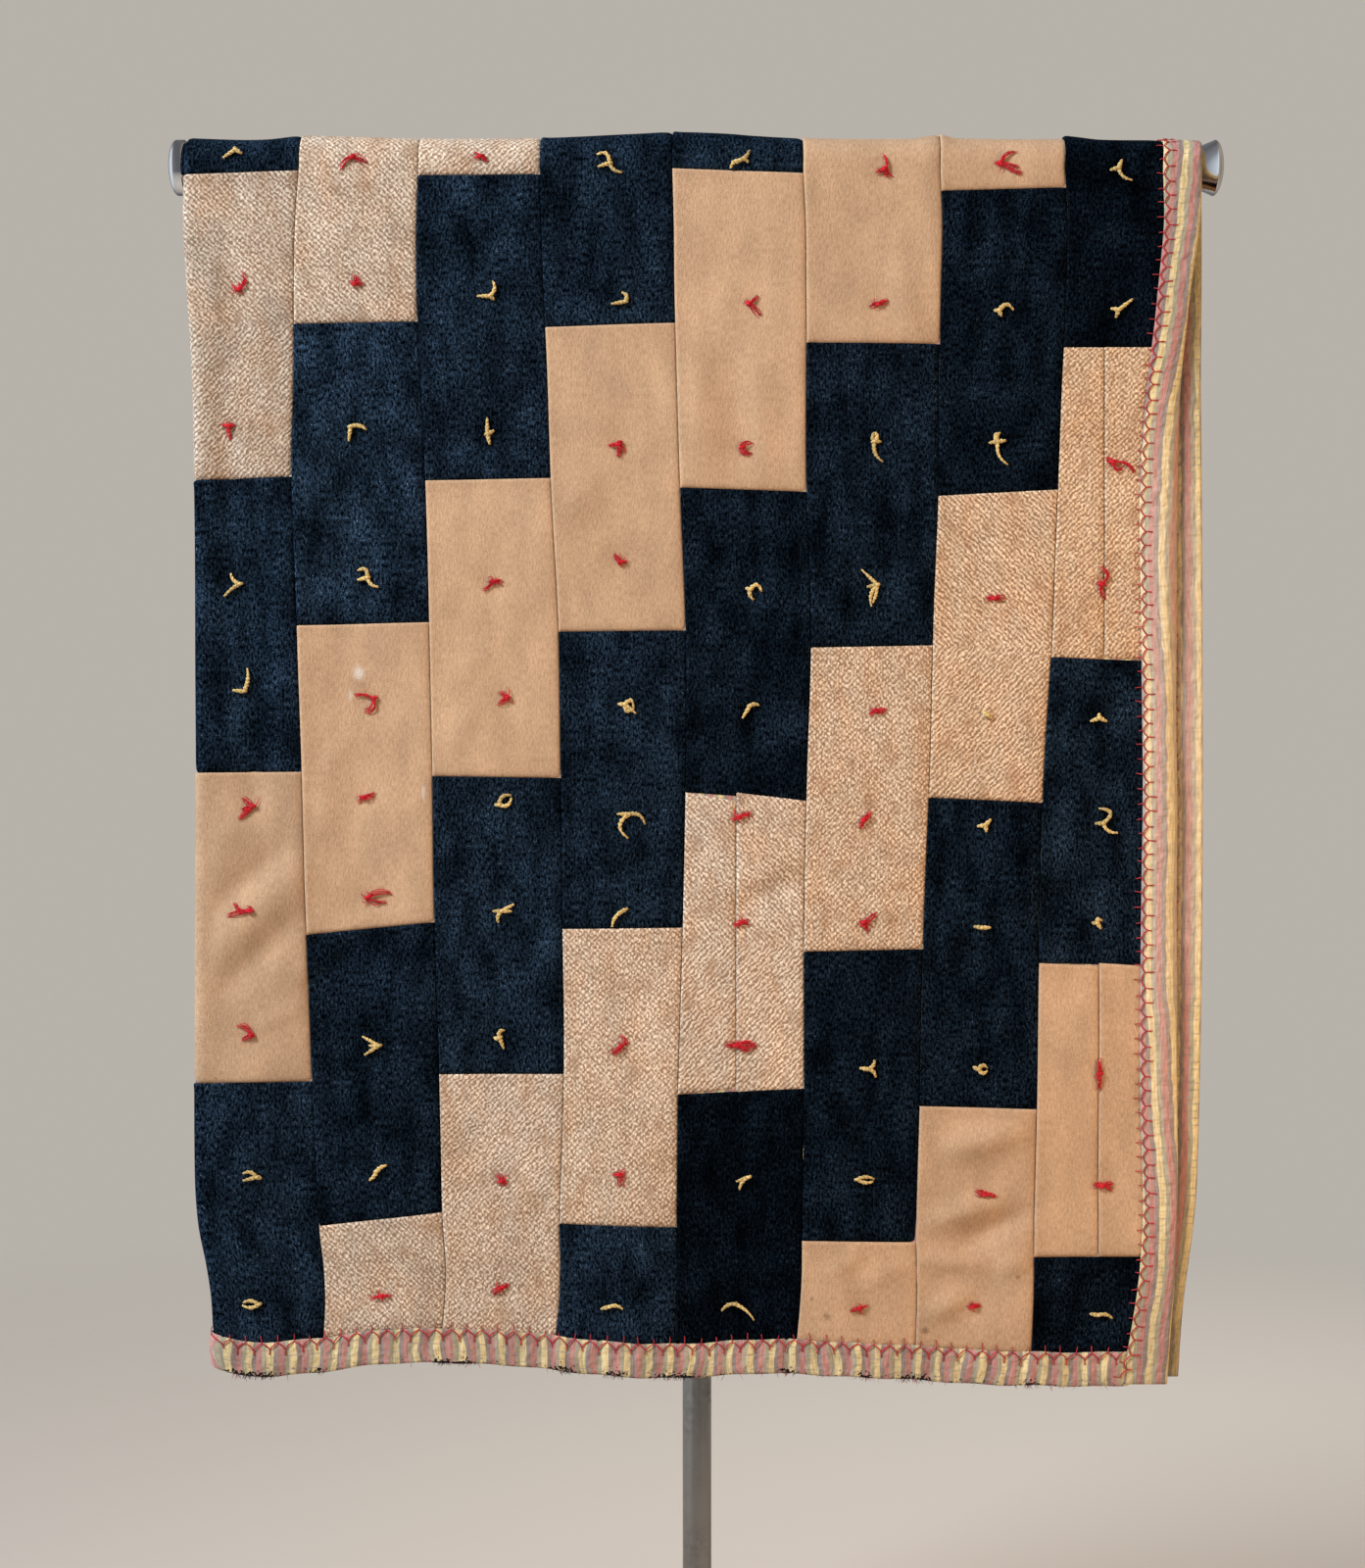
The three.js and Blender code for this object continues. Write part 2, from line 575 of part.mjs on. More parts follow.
function standGroup() {
  const group = new THREE.Group();
  const bar = namedMesh('bar', cylinderAlongX(BAR_RADIUS, 2 * (BAR_HALF_LENGTH - FIT_GAP)), CHROME);
  bar.position.z = BAR_AXIS_HEIGHT;
  group.add(bar);
  for (const [name, way] of [['cap_left', -1], ['cap_right', 1]]) {
    const cap = namedMesh(name, capGeometry(), CHROME);
    cap.position.set(way * BAR_HALF_LENGTH, 0, BAR_AXIS_HEIGHT);
    cap.rotation.z = -way * Math.PI / 2;
    group.add(cap);
  }
  group.add(namedMesh('post', postGeometry(), CHROME));
  const collar = namedMesh('collar', collarGeometry(), CHROME);
  collar.position.z = BASE_THICKNESS + FIT_GAP;
  collar.rotation.x = Math.PI / 2;
  const base = namedMesh('base', baseGeometry(), CHROME);
  base.rotation.x = Math.PI / 2;
  group.add(collar, base);
  return group;
}

const part = new THREE.Group();
part.add(quiltGroup(), standGroup());

export default part;
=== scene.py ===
"""Tied patchwork quilt, folded in half lengthwise and hung over the bar of a chrome T-stand.

The cloth is worked out in millimetres from the same driving sizes as the frame's solids, and each mesh is
scaled to metres when it is made. The front faces -Y. A place on the cloth has two measures:
  span: millimetres across it from the fold, negative on the outer layer, positive on the inner one.
  run: millimetres along it below the bar's axis on the front, negative over the bar and down the back.
"""

import logging
import math
from collections.abc import Callable, Sequence
from dataclasses import dataclass, field
from enum import Enum
from functools import cache, cached_property, partial
from typing import NamedTuple

import bpy
import numpy as np
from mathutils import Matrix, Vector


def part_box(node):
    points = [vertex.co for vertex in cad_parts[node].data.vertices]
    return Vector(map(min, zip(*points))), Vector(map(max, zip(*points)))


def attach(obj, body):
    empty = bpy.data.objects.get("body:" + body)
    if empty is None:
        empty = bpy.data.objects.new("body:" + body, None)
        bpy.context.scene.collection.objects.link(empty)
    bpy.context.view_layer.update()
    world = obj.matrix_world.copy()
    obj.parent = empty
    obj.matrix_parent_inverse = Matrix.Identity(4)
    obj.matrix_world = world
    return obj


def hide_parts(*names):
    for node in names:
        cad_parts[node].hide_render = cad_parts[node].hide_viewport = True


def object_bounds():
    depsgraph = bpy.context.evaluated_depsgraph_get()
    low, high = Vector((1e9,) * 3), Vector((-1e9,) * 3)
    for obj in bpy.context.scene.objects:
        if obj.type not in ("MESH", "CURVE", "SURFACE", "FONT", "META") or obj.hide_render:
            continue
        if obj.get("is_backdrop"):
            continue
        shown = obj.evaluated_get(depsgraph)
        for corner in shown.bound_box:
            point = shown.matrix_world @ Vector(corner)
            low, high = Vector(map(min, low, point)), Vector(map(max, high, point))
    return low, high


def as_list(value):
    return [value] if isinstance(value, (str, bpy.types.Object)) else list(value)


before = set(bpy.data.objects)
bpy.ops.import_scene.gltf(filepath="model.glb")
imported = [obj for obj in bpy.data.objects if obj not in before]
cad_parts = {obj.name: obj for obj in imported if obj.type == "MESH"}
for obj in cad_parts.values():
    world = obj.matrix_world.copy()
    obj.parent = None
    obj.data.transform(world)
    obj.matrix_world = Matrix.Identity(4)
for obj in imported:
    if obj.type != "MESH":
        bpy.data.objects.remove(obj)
CAD_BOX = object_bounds()
LOG = logging.getLogger("quilt")

MM = 0.001
Array = np.ndarray
Reals = float | Array
Curve = Callable[[Array], Array]
Pair = tuple[float, float]
Colour = tuple[float, float, float]
Piece = bpy.types.Object
Material = bpy.types.Material

# Thicknesses and gaps of the quilt's layers, in millimetres
BAR_AXIS_HEIGHT = 1500.0
BAR_RADIUS = 16.0
QUILT_THICKNESS = 4.0
LAYER_GAP = 2.5
BAR_CLEARANCE = 0.8
EDGE_LIP = 1.6
HEM_WIDTH = 30.0
TYPICAL_DROP = 1045.0
INNER_LAYER_SHORTER = 4.0
INNER_FOLLOWS_OUTER = 0.3
MIDDLE_SPREAD = 2.0
FIRST_SEAM_SHARE = 0.110
EDGE_LIFT = (0.863, 0.93)
EDGE_ROLL = (0.988, 1.003)
EDGE_FLAT_REACH = 0.05
TOP_FLARE = 3.0
INNER_DEPTH = BAR_RADIUS + BAR_CLEARANCE + QUILT_THICKNESS / 2
OUTER_DEPTH = INNER_DEPTH + QUILT_THICKNESS + LAYER_GAP

# Measures of the flat cloth, in millimetres but for its whole size
LAYER_WIDTH = 870.0
FOLD_WIDTH = 16.0
ARC_LENGTH = math.pi * OUTER_DEPTH
BRICK_LENGTH = 264.0
COLUMNS = 8
INNER_FIRST_SEAM = 13.0
INNER_BINDING_SHARE = 0.958
INNER_BINDING_SPAN = FOLD_WIDTH + LAYER_WIDTH * INNER_BINDING_SHARE
HEM_STITCH = 14.4


class Section(NamedTuple):
    """One height of a hanging side: where its edges lie and how far the layers stand apart."""

    down: float
    fold: float
    outer_edge: float
    inner_edge: float
    fold_spread: float
    edge_spread: float
    edge_roll: float = 0.0


class SoftFold(NamedTuple):
    """A soft upright fold: its place at the top, its lean over the drop, its ends, width and height."""

    x: float
    lean: float
    top: float
    bottom: float
    width: float
    height: float

    def relief(self, x: Array, down: Array) -> Array:
        """Give its height at places across and shares of the drop."""
        along = np.clip((down - self.top) / (self.bottom - self.top), 0, 1)
        away = (x - self.x - self.lean * down) / self.width
        return self.height * np.sin(np.pi * along) * np.exp(-(away**2))


class Crease(NamedTuple):
    """A short ridge, or a hollow where the height is negative, between two places of the front."""

    start: Pair
    end: Pair
    width: float
    height: float

    def relief(self, x: Array, mark: Array) -> Array:
        """Give its height, falling off round its line.

        Args:
            x: Places across.
            mark: Places along the cloth, counted as in the tables.

        Returns:
            Heights.
        """
        line = np.subtract(self.end, self.start)
        length = math.hypot(*line)
        way = line / length
        right, down = x - self.start[0], mark - self.start[1]
        along = (right * way[0] + down * way[1]) / length
        aside = (right * way[1] - down * way[0]) / self.width
        past_end = np.maximum(np.abs(along - 0.5) - 0.5, 0) * length / self.width
        body = np.sin(np.pi * np.clip(along * 0.7 + 0.15, 0, 1))
        return self.height * body * np.exp(-(aside**2) - past_end**2)


FRONT_SECTIONS = (
    Section(0.00, -445.8, 438.0, 438.5, 0.0, 0.0),
    Section(0.05, -446.5, 436.2, 439.0, 0.5, 0.5),
    Section(0.11, -443.0, 427.2, 439.0, 1.5, 2.5),
    Section(0.18, -438.5, 420.0, 438.5, 2.5, 3.5, 3.0),
    Section(0.25, -437.0, 417.6, 439.2, 3.2, 5.0, 5.0),
    Section(0.33, -436.0, 416.2, 440.0, 3.9, 6.5, 6.5),
    Section(0.42, -436.0, 416.3, 440.5, 4.5, 7.0, 7.0),
    Section(0.51, -436.0, 416.6, 441.0, 5.0, 7.0, 7.0),
    Section(0.67, -437.0, 417.5, 440.5, 7.0, 6.0, 5.0),
    Section(0.84, -437.3, 418.0, 437.0, 9.0, 4.5, 1.5),
    Section(0.885, -434.3, 417.0, 433.0, 9.5, 4.2, 0.5),
    Section(0.92, -427.0, 415.5, 428.0, 10.0, 4.0),
    Section(0.95, -422.5, 413.2, 424.5, 10.4, 4.0),
    Section(1.00, -421.0, 409.5, 421.0, 11.0, 4.0),
)
BACK_SECTIONS = (
    Section(0.00, -445.8, 438.0, 438.5, 0.0, 0.0),
    Section(0.20, -438.0, 429.0, 438.0, 2.0, 4.0),
    Section(0.50, -436.0, 424.0, 437.0, 5.0, 7.0),
    Section(0.80, -434.0, 422.0, 432.0, 8.0, 6.0),
    Section(1.00, -428.0, 418.0, 425.0, 10.0, 5.0),
)

# The hems' drop below the bar's axis, and the outer layer's rise over the bar, each across the quilt
FRONT_HEM = (
    (-421, 1041), (-390, 1050), (-340, 1048.5), (-265, 1040), (-163, 1042), (-95, 1049.5),
    (-10, 1053), (75, 1049.5), (160, 1054), (310, 1061), (411, 1058),
)
BACK_HEM = ((-428, 1036), (-260, 1045), (-40, 1038), (210, 1047), (418, 1040))
TOP_LINE = (
    (-446, -2.5), (-400, -4), (-375, -3.5), (-345, -0.5), (-240, -3), (-136, -2.2), (-53, 1.5), (-20, 3),
    (25, 1.5), (50, -0.5), (90, -2.5), (188, -3), (211, 0.5), (228, -2.5), (315, -3.2), (324, -0.8),
    (352, -3.8), (400, -4.5), (410, -5.2), (438, -5.6),
)

# The runs in the tables below are counted from this far under the bar's axis
RUN_START = 8.0
# The visible cloth draws in a little towards the hems, as a share of the width
HEM_NARROWING = 0.0065

FRONT_FOLDS = (
    SoftFold(-426, -6, 0.01, 0.60, 13, 5.0), SoftFold(-345, -12, 0.15, 0.80, 30, 4.0),
    SoftFold(-405, 10, 0.50, 1.50, 30, 6.0), SoftFold(-230, -20, 0.30, 1.60, 45, 3.5),
    SoftFold(-70, 10, 0.40, 1.70, 50, 4.5), SoftFold(130, -15, 0.35, 1.60, 50, 3.5),
    SoftFold(300, -20, 0.10, 1.20, 45, 4.0),
)
BACK_FOLDS = (
    SoftFold(-400, 10, 0.05, 1.40, 35, 6.0), SoftFold(-210, 25, 0.20, 1.60, 50, 4.5),
    SoftFold(20, -20, 0.25, 1.70, 55, 5.0), SoftFold(250, -25, 0.10, 1.50, 45, 4.5),
)
CREASES = (
    Crease((-402, 20), (-410, 470), 14, -2.5), Crease((-384, 300), (-382, 560), 15, -2.6),
    Crease((-425, 600), (-365, 540), 20, 3.0), Crease((-422, 643), (-354, 585), 11, -3.2),
    Crease((-419, 681), (-348, 611), 16, 4.6), Crease((-411, 712), (-343, 647), 12, -3.6),
    Crease((-383, 744), (-344, 727), 6, 1.8), Crease((-320, 525), (-321, 575), 7, 1.4),
    Crease((-322, 520), (-299, 492), 7, 1.4), Crease((-345, 700), (-290, 652), 9, 2.0),
    Crease((-337, 711), (-284, 666), 7, -2.4), Crease((-410, 900), (-335, 915), 12, -2.2),
    Crease((-212, 448), (-179, 410), 12, 1.3), Crease((-217, 503), (-187, 461), 10, 1.3),
    Crease((-121, 313), (-84, 261), 14, 1.7), Crease((-3, 144), (0, 271), 16, 2.6),
    Crease((31, 153), (34, 263), 14, -2.0), Crease((54, 178), (59, 271), 12, 1.6),
    Crease((174, 85), (189, 149), 12, 1.8), Crease((37, 619), (91, 592), 11, 2.2),
    Crease((30, 645), (93, 612), 8, -2.4), Crease((215, 660), (300, 610), 12, 2.0),
    Crease((215, 690), (300, 650), 10, -2.0), Crease((20, 850), (90, 800), 11, 2.0),
    Crease((30, 900), (95, 850), 10, -2.2), Crease((220, 849), (279, 834), 12, 6.6),
    Crease((201, 913), (260, 893), 10, 6.0), Crease((231, 928), (286, 903), 10, -5.6),
    Crease((193, 944), (248, 949), 8, 4.8), Crease((260, 949), (284, 947), 8, 3.6),
    Crease((197, 993), (235, 976), 9, 4.8), Crease((113, 957), (142, 938), 8, 2.4),
    Crease((146, 965), (180, 947), 9, 2.2),
)

# Column seams of the front: x at each of the heights below, from the first seam to the binding's inner edge
SEAM_HEIGHTS = (0, 133, 270, 397, 525, 656, 792, 915, 1016, 1042)
SEAM_LINES = (
    (-345.5, -350, -351.5, -347, -343, -339.5, -334.5, -328.5, -325, -324.5),
    (-242, -242.5, -236, -232.5, -230, -228, -224, -221.5, -223, -224),
    (-136.5, -132, -127, -120.5, -118.5, -117, -116, -119.5, -123.5, -125),
    (-21.5, -19, -15, -10, -10, -12.5, -16.5, -17.5, -20, -21),
    (92, 95, 95, 99, 95.5, 93, 93, 91.5, 86.5, 85),
    (211, 211, 209.5, 205, 202, 197, 194, 191, 190, 189.5),
    (319, 319, 313, 308, 300.5, 297, 295.5, 293, 290.5, 290),
    (404, 396, 383.5, 384.5, 386, 385, 384.5, 387, 375, 367),
)

# Joins between the bricks of each front column: run at the middle, and how much lower the right end is
FRONT_JOINS = (
    ((3, -4.5), (269, -4), (523, -1), (791, -2)),
    ((133, -2), (394.5, -3), (658, -11), (909, -12)),
    ((4.5, -1), (269, -2), (527, 1.5), (784, 0)),
    ((135, -4), (400.5, -1), (658, -1), (915, 3)),
    ((1, 4), (278, 3.5), (544, 7.5), (799, -5)),
    ((151, 1), (414, -2), (677, -2), (929, 2)),
    ((17, -3), (281, -5.5), (547, 4.5), (813, 2.5)),
    ((155, 0), (425, 3), (689, 2.5), (942, 0)),
)
# Bricks pieced from two strips: (column, brick) and the x of the seam between them
PIECED_BRICKS = {(4, 3): 34.0, (7, 1): 353.0, (7, 3): 349.0}

# Ties of the front: x, run, then each tail's end to the right and up from the knot, and its bow
Tail = tuple[float, float, float]
GOLD_TIES = (
    (-401, -16, (-10, -7, 0), (6, -3, 0), (-1, 4, 0)), (-396.5, 360, (-8, 9, 2), (-14, -11, -1)),
    (-393, 453, (3, 20, -2), (-10, 1, 0)), (-382, 872, (-12, 3, -3), (-12, -3, 0), (4, -1, 0)),
    (-379.5, 981, (-14, 1, -2.5), (-15, -1, 2.5)), (-300.5, 223.5, (-2, -13, 0), (14, -3, 2), (12, 0, 1)),
    (-286, 354.5, (-9, 6, -5), (10, -8, -2.5), (-9, -2, 0)),
    (-276, 759, (-15, 8, 0), (-13, -8, 0), (-9, 0, 0)), (-278, 867, (-7, -8, 1), (9, 5, 1)),
    (-180, 110.5, (3, 13, -3), (-11, 0, 0), (4, -3, 0)), (-182, 230, (0, 14, 0), (2, -9, 0), (6, 3, 0)),
    (-172, 551, (11, 8, 4), (11, 6, -4), (-4, 0, 0)),
    (-170, 643, (11, 6, 0), (9, 0, 0), (-3, -10, -2), (-8, 0, 0)),
    (-172, 752, (5, 6, 3), (4, -10, 0), (-5, 0, 1)), (-76, -5, (-11, 7, -5), (11, -8, -2.5), (-10, -3, 0)),
    (-62.5, 115.5, (-12, -2, 0), (-3, 8, -3)), (-63, 464, (8, -3, 5), (8, -3, -5), (-6, 0, 0), (10, -8, 0)),
    (-59, 559, (14, -9, 4), (-1, -21, -8), (-11, 0, 0)), (-66, 643.5, (-8, -13, -2), (6, 3, 0)),
    (-76, 984, (-8, -2, 0), (12, -2, 2)), (37, -7.5, (8, 8, -1.5), (-8, -7, -2), (7, -2, 2), (-7, -1, 1)),
    (46, 364.5, (10, -2, 5), (3, -9, -2), (-4, 1, 0)), (46, 465, (-7, -11, 0), (8, 0, 1)),
    (44.5, 873, (-11, -4, 0), (-8, -11, -2)), (32.5, 982.5, (-12, -6, -2), (18, -14, 2)),
    (153.5, 236.5, (8, -18, -3.5), (6, 0, 0), (1, 8, 2), (1, 8, -2)),
    (156, 360.5, (-14, 13, 0), (-5, -19, -3), (-4, -16, 1), (-9, -2, 0)),
    (148, 779.5, (6, 8, -2), (7, -7, 2), (-7, 1, 0)), (139, 874.5, (15, 0, 2), (14, -2, -2)),
    (261, 123, (13, 0, 5), (7, 6, 0), (-4, 0, 0), (3, -5, 0)),
    (260.5, 237, (9, -20, -4), (-8, -1, 0), (7, 1, 0), (2, 8, 2), (-1, 8, 2)),
    (252, 473.5, (-5, 3, 0), (4, -3, 0)), (250, 568.5, (-7, -1, 0), (5, 5, 0), (1, -6, 0)),
    (247, 657, (-7, 1, 0), (8, 0, 0)), (244.5, 779.5, (-5, 2, 0), (8, 1, 3), (8, -1, -3)),
    (365, -1, (12, -11, -3), (3, 7, 0), (-7, -2, 0)), (365, 122.5, (11, 9, 0), (-2, -7, 0), (-7, 1, 0)),
    (348, 476, (-8, -3, 0), (7, -3, 0), (0, 4, 0)), (351.5, 567, (-4, 13, -9), (13, -8, -3), (-7, 0, 0)),
    (346.5, 653, (5, 2, 2), (4, -5, 0), (-4, 0, 0), (1, 5, 0)), (348, 992, (-8, 1, 0), (13, -3, 2)),
)
RED_TIES = (
    (-398, 104.5, (4, 14, -3), (-5, 3, 0)), (-406.5, 223.5, (1, -11, 0), (-6, 2, 0), (5, 2, 0)),
    (-385.5, 553, (-9, 8, 0), (-12, -10, 0), (-9, -2, 0)), (-387, 642, (-14, 6, 3), (-20, -5, 0)),
    (-387, 750, (-12, 7, -3), (-8, -4, 0)), (-299, -10, (-9, -10, -2), (12, -5, 1)),
    (-296, 100, (0, 8, 0), (6, 0, 0), (-5, 2, 0)), (-281, 459, (-16, 3, -2), (-7, -11, 2)),
    (-289.5, 545, (-5, -3, 0), (10, 3, 1)), (-286, 631.5, (21, 4, 3), (16, -4, -2)),
    (-275, 975, (-10, -1, 0), (9, 2, 0)), (-188, -10, (-5, 3, 0), (5, -3, 0)),
    (-177, 358, (-8, -7, 0), (9, -1, 0)), (-165, 458, (-6, 3, 0), (-7, -6, 0)),
    (-170, 875.5, (-4, 4, 0), (4, -4, 0)), (-172, 969, (-7, -5, 0), (8, 4, 0)),
    (-68, 238, (-9, -2, 0), (-1, -12, 0), (3, -9, 0)), (-66, 341, (-6, 7, 0), (5, 0, 0)),
    (-66, 760, (0, 9, -4), (-9, -6, 0)), (-67.5, 870.5, (6, 3, 0), (1, -10, 0), (-5, 0, 0)),
    (45.5, 117, (6, 7, 0), (9, -10, 0), (-4, 1, 0)), (38.5, 242, (9, 4, 2), (8, -5, -2)),
    (36, 562, (-5, -2, 0), (12, 3, 0)), (38.5, 653, (-7, -3, 0), (5, 3, 0)),
    (34.5, 759, (-10, 2, 0), (17, 0, 3), (17, 0, -3)), (163, 0, (-2, 11, -3), (-7, -2, 0), (2, -7, 0)),
    (157, 117, (-7, -3, 0), (8, 3, 0)), (155, 470, (-6, -3, 0), (8, 3, 0)),
    (145, 564, (-4, -7, 0), (4, 7, 0)), (145, 653, (11, 8, 0), (3, -8, 0), (-4, 1, 0)),
    (141, 986, (-8, -2, 0), (7, 1, 0)), (263, -5, (13, 9, 3), (19, -9, 0), (15, -4, 0), (-5, 1, 0)),
    (258, 373, (-7, 0, 0), (9, 2, 0)), (250, 887, (-8, 2, 0), (10, -2, 0)),
    (240, 985, (-5, -1, 0), (6, 1, 0)), (360, 255, (19, -8, 4), (-7, 3, 0), (9, -5, -3)),
    (350, 360, (-1, 14, -6), (3, -13, -2)), (349, 783, (0, 12, 0), (-1, -14, 0), (4, 1, 0)),
    (353, 880, (-8, 0, 0), (8, 2, 0), (7, -4, 0)),
)
BACK_TIE_PITCH = 112.0

# Worn places of the front hem's lower edge: x and half their width
WORN_SPOTS = (
    (-395, 10), (-374, 10), (-326, 4), (-220, 7), (-201, 7), (-116, 8), (-71, 8),
    (-27, 7), (-12, 8), (78, 6), (144, 5), (190, 12), (289, 5),
)
# Where the side binding's stripes start, measured out from its edge, at runs down the front
STRIPE_STARTS = (
    (-20, 13.3), (15, 12.0), (34, 10.5), (76, 9.0), (119, 9.6), (161, 8.1), (203, 2.0),
    (245, -2.7), (288, -3.8), (330, -6.3), (372, -5.3), (414, -2.7), (456, 0.8), (499, 0.4),
    (541, 0.8), (625, 1.0), (710, 0.6), (752, 4.0),
    (794, 5.8), (837, 8.0), (879, 12.0), (921, 14.2), (963, 13.6), (1005, 10.6), (1048, 9.6),
)
# How the tweed's lines lean in each front brick's upper and lower half: -1 falling, 0 upright, 1 rising
TWEED_LEANS = {
    (0, 1): (-0.6, 0.6), (1, 0): (-0.4, -0.6), (1, 4): (-0.2, -0.2), (2, 0): (0.5, 0.5), (2, 4): (0.5, 0.1),
    (3, 3): (-0.1, 0.1), (4, 3): (-0.5, 0.85), (5, 2): (0.0, 0.15), (6, 2): (-0.9, 0.9), (7, 1): (0.4, 0.5),
}
# How faded, or darker where negative, the side bindings are at runs down the front
OUTER_SIDE_FADING = (
    (0, -0.2), (160, -0.2), (240, 0.3), (330, 0.8), (650, 0.7), (850, 0.3), (960, -0.25), (1060, -0.5),
)
INNER_SIDE_FADING = (
    (0, -0.9), (80, -0.85), (165, -0.6), (245, -0.3), (330, 0.6), (670, 0.7),
    (755, 0.0), (920, -0.15), (1030, -0.9),
)
# How light some bricks are beside the rest of their cloth, by column and brick: partly other cloth, such as
# blacker navy scraps, and partly painted shade of how the light falls on them
BRICK_SHARES = {
    (0, 3): 0.90, (1, 1): 1.35, (1, 3): 0.75, (2, 3): 1.15, (3, 4): 1.20, (4, 2): 0.60, (4, 4): 0.28,
    (5, 1): 0.77, (5, 3): 0.58, (6, 1): 0.58, (6, 3): 0.65, (6, 4): 0.92, (7, 0): 0.36, (7, 4): 0.41,
}


def curve_through(rows: Sequence[Sequence[float]]) -> Curve:
    """Make a smooth curve through a table's rows, level outside it.

    Args:
        rows: Rows of a place and the value there, the places rising.

    Returns:
        A function that reads the curve at any places.
    """
    at, value = np.array(rows, float).T
    last = len(at) - 1
    before, after = np.maximum(np.arange(last + 1) - 1, 0), np.minimum(np.arange(last + 1) + 1, last)
    slope = (value[after] - value[before]) / (at[after] - at[before])

    def read(place: Array) -> Array:
        """Read the curve at these places."""
        inside = np.clip(place, at[0], at[-1])
        end = np.clip(np.searchsorted(at, inside), 1, last)
        start = end - 1
        length = at[end] - at[start]
        t = (inside - at[start]) / length
        bend = t * (1 - t) * length * ((1 - t) * slope[start] - t * slope[end])
        return value[start] + (value[end] - value[start]) * t * t * (3 - 2 * t) + bend

    return read


def ease(value: Array, low: float, high: float) -> Array:
    """Rise smoothly from 0 at low to 1 at high."""
    t = np.clip((value - low) / (high - low), 0, 1)
    return t * t * (3 - 2 * t)


def unit(vectors: Array) -> Array:
    """Scale each vector to length 1."""
    return vectors / np.maximum(np.linalg.norm(vectors, axis=-1, keepdims=True), 1e-9)


@dataclass
class HangingSide:
    """The front or the back half of the hanging quilt, read from its tables."""

    sections: tuple[Section, ...]
    hem: tuple[Pair, ...]
    folds: tuple[SoftFold, ...]
    edges: dict[str, Curve] = field(init=False)
    drop: Curve = field(init=False)

    def __post_init__(self) -> None:
        """Turn the tables into curves."""
        downs, *columns = zip(*self.sections)
        self.edges = {
            name: curve_through([*zip(downs, column)]) for name, column in zip(Section._fields[1:], columns)
        }
        self.drop = curve_through(self.hem)

    def fold_relief(self, x: Array, down: Array) -> Array:
        """Give the height of the soft folds at places across and shares of the drop."""
        return sum(fold.relief(x, down) for fold in self.folds)


@dataclass
class Relief:
    """The small unevenness of the outer layer: creases, the pull of the ties, and slow ripples."""

    dimple_depth: float = 1.5
    dimple_radius: float = 13.0
    ripples: tuple[tuple[float, float, float, float], ...] = (
        (310, 190, 0.4, 0.5), (-170, 260, 1.9, 0.45), (120, 410, 3.1, 0.35), (-95, 150, 5.0, 0.3),
    )
    bar_fade: Pair = (15.0, 120.0)

    def height(self, x: Array, run: Array) -> Array:
        """Give how far the outer layer stands out.

        Args:
            x: Places across.
            run: Places along the cloth.

        Returns:
            Heights.
        """
        total = np.zeros(np.broadcast(x, run).shape)
        for across, along, phase, size in self.ripples:
            total = total + size * np.sin(2 * np.pi * (x / across + run / along) + phase)
        total = total * ease(np.maximum(run, -run - ARC_LENGTH), *self.bar_fade)
        if np.max(run) < 0:
            return total
        mark = run - RUN_START
        total = sum((crease.relief(x, mark) for crease in CREASES), start=total)
        for tie_x, tie_mark, *_ in (*GOLD_TIES, *RED_TIES):
            away = ((x - tie_x) ** 2 + (mark - tie_mark) ** 2) / self.dimple_radius**2
            total = total - self.dimple_depth * np.exp(-away)
        return total


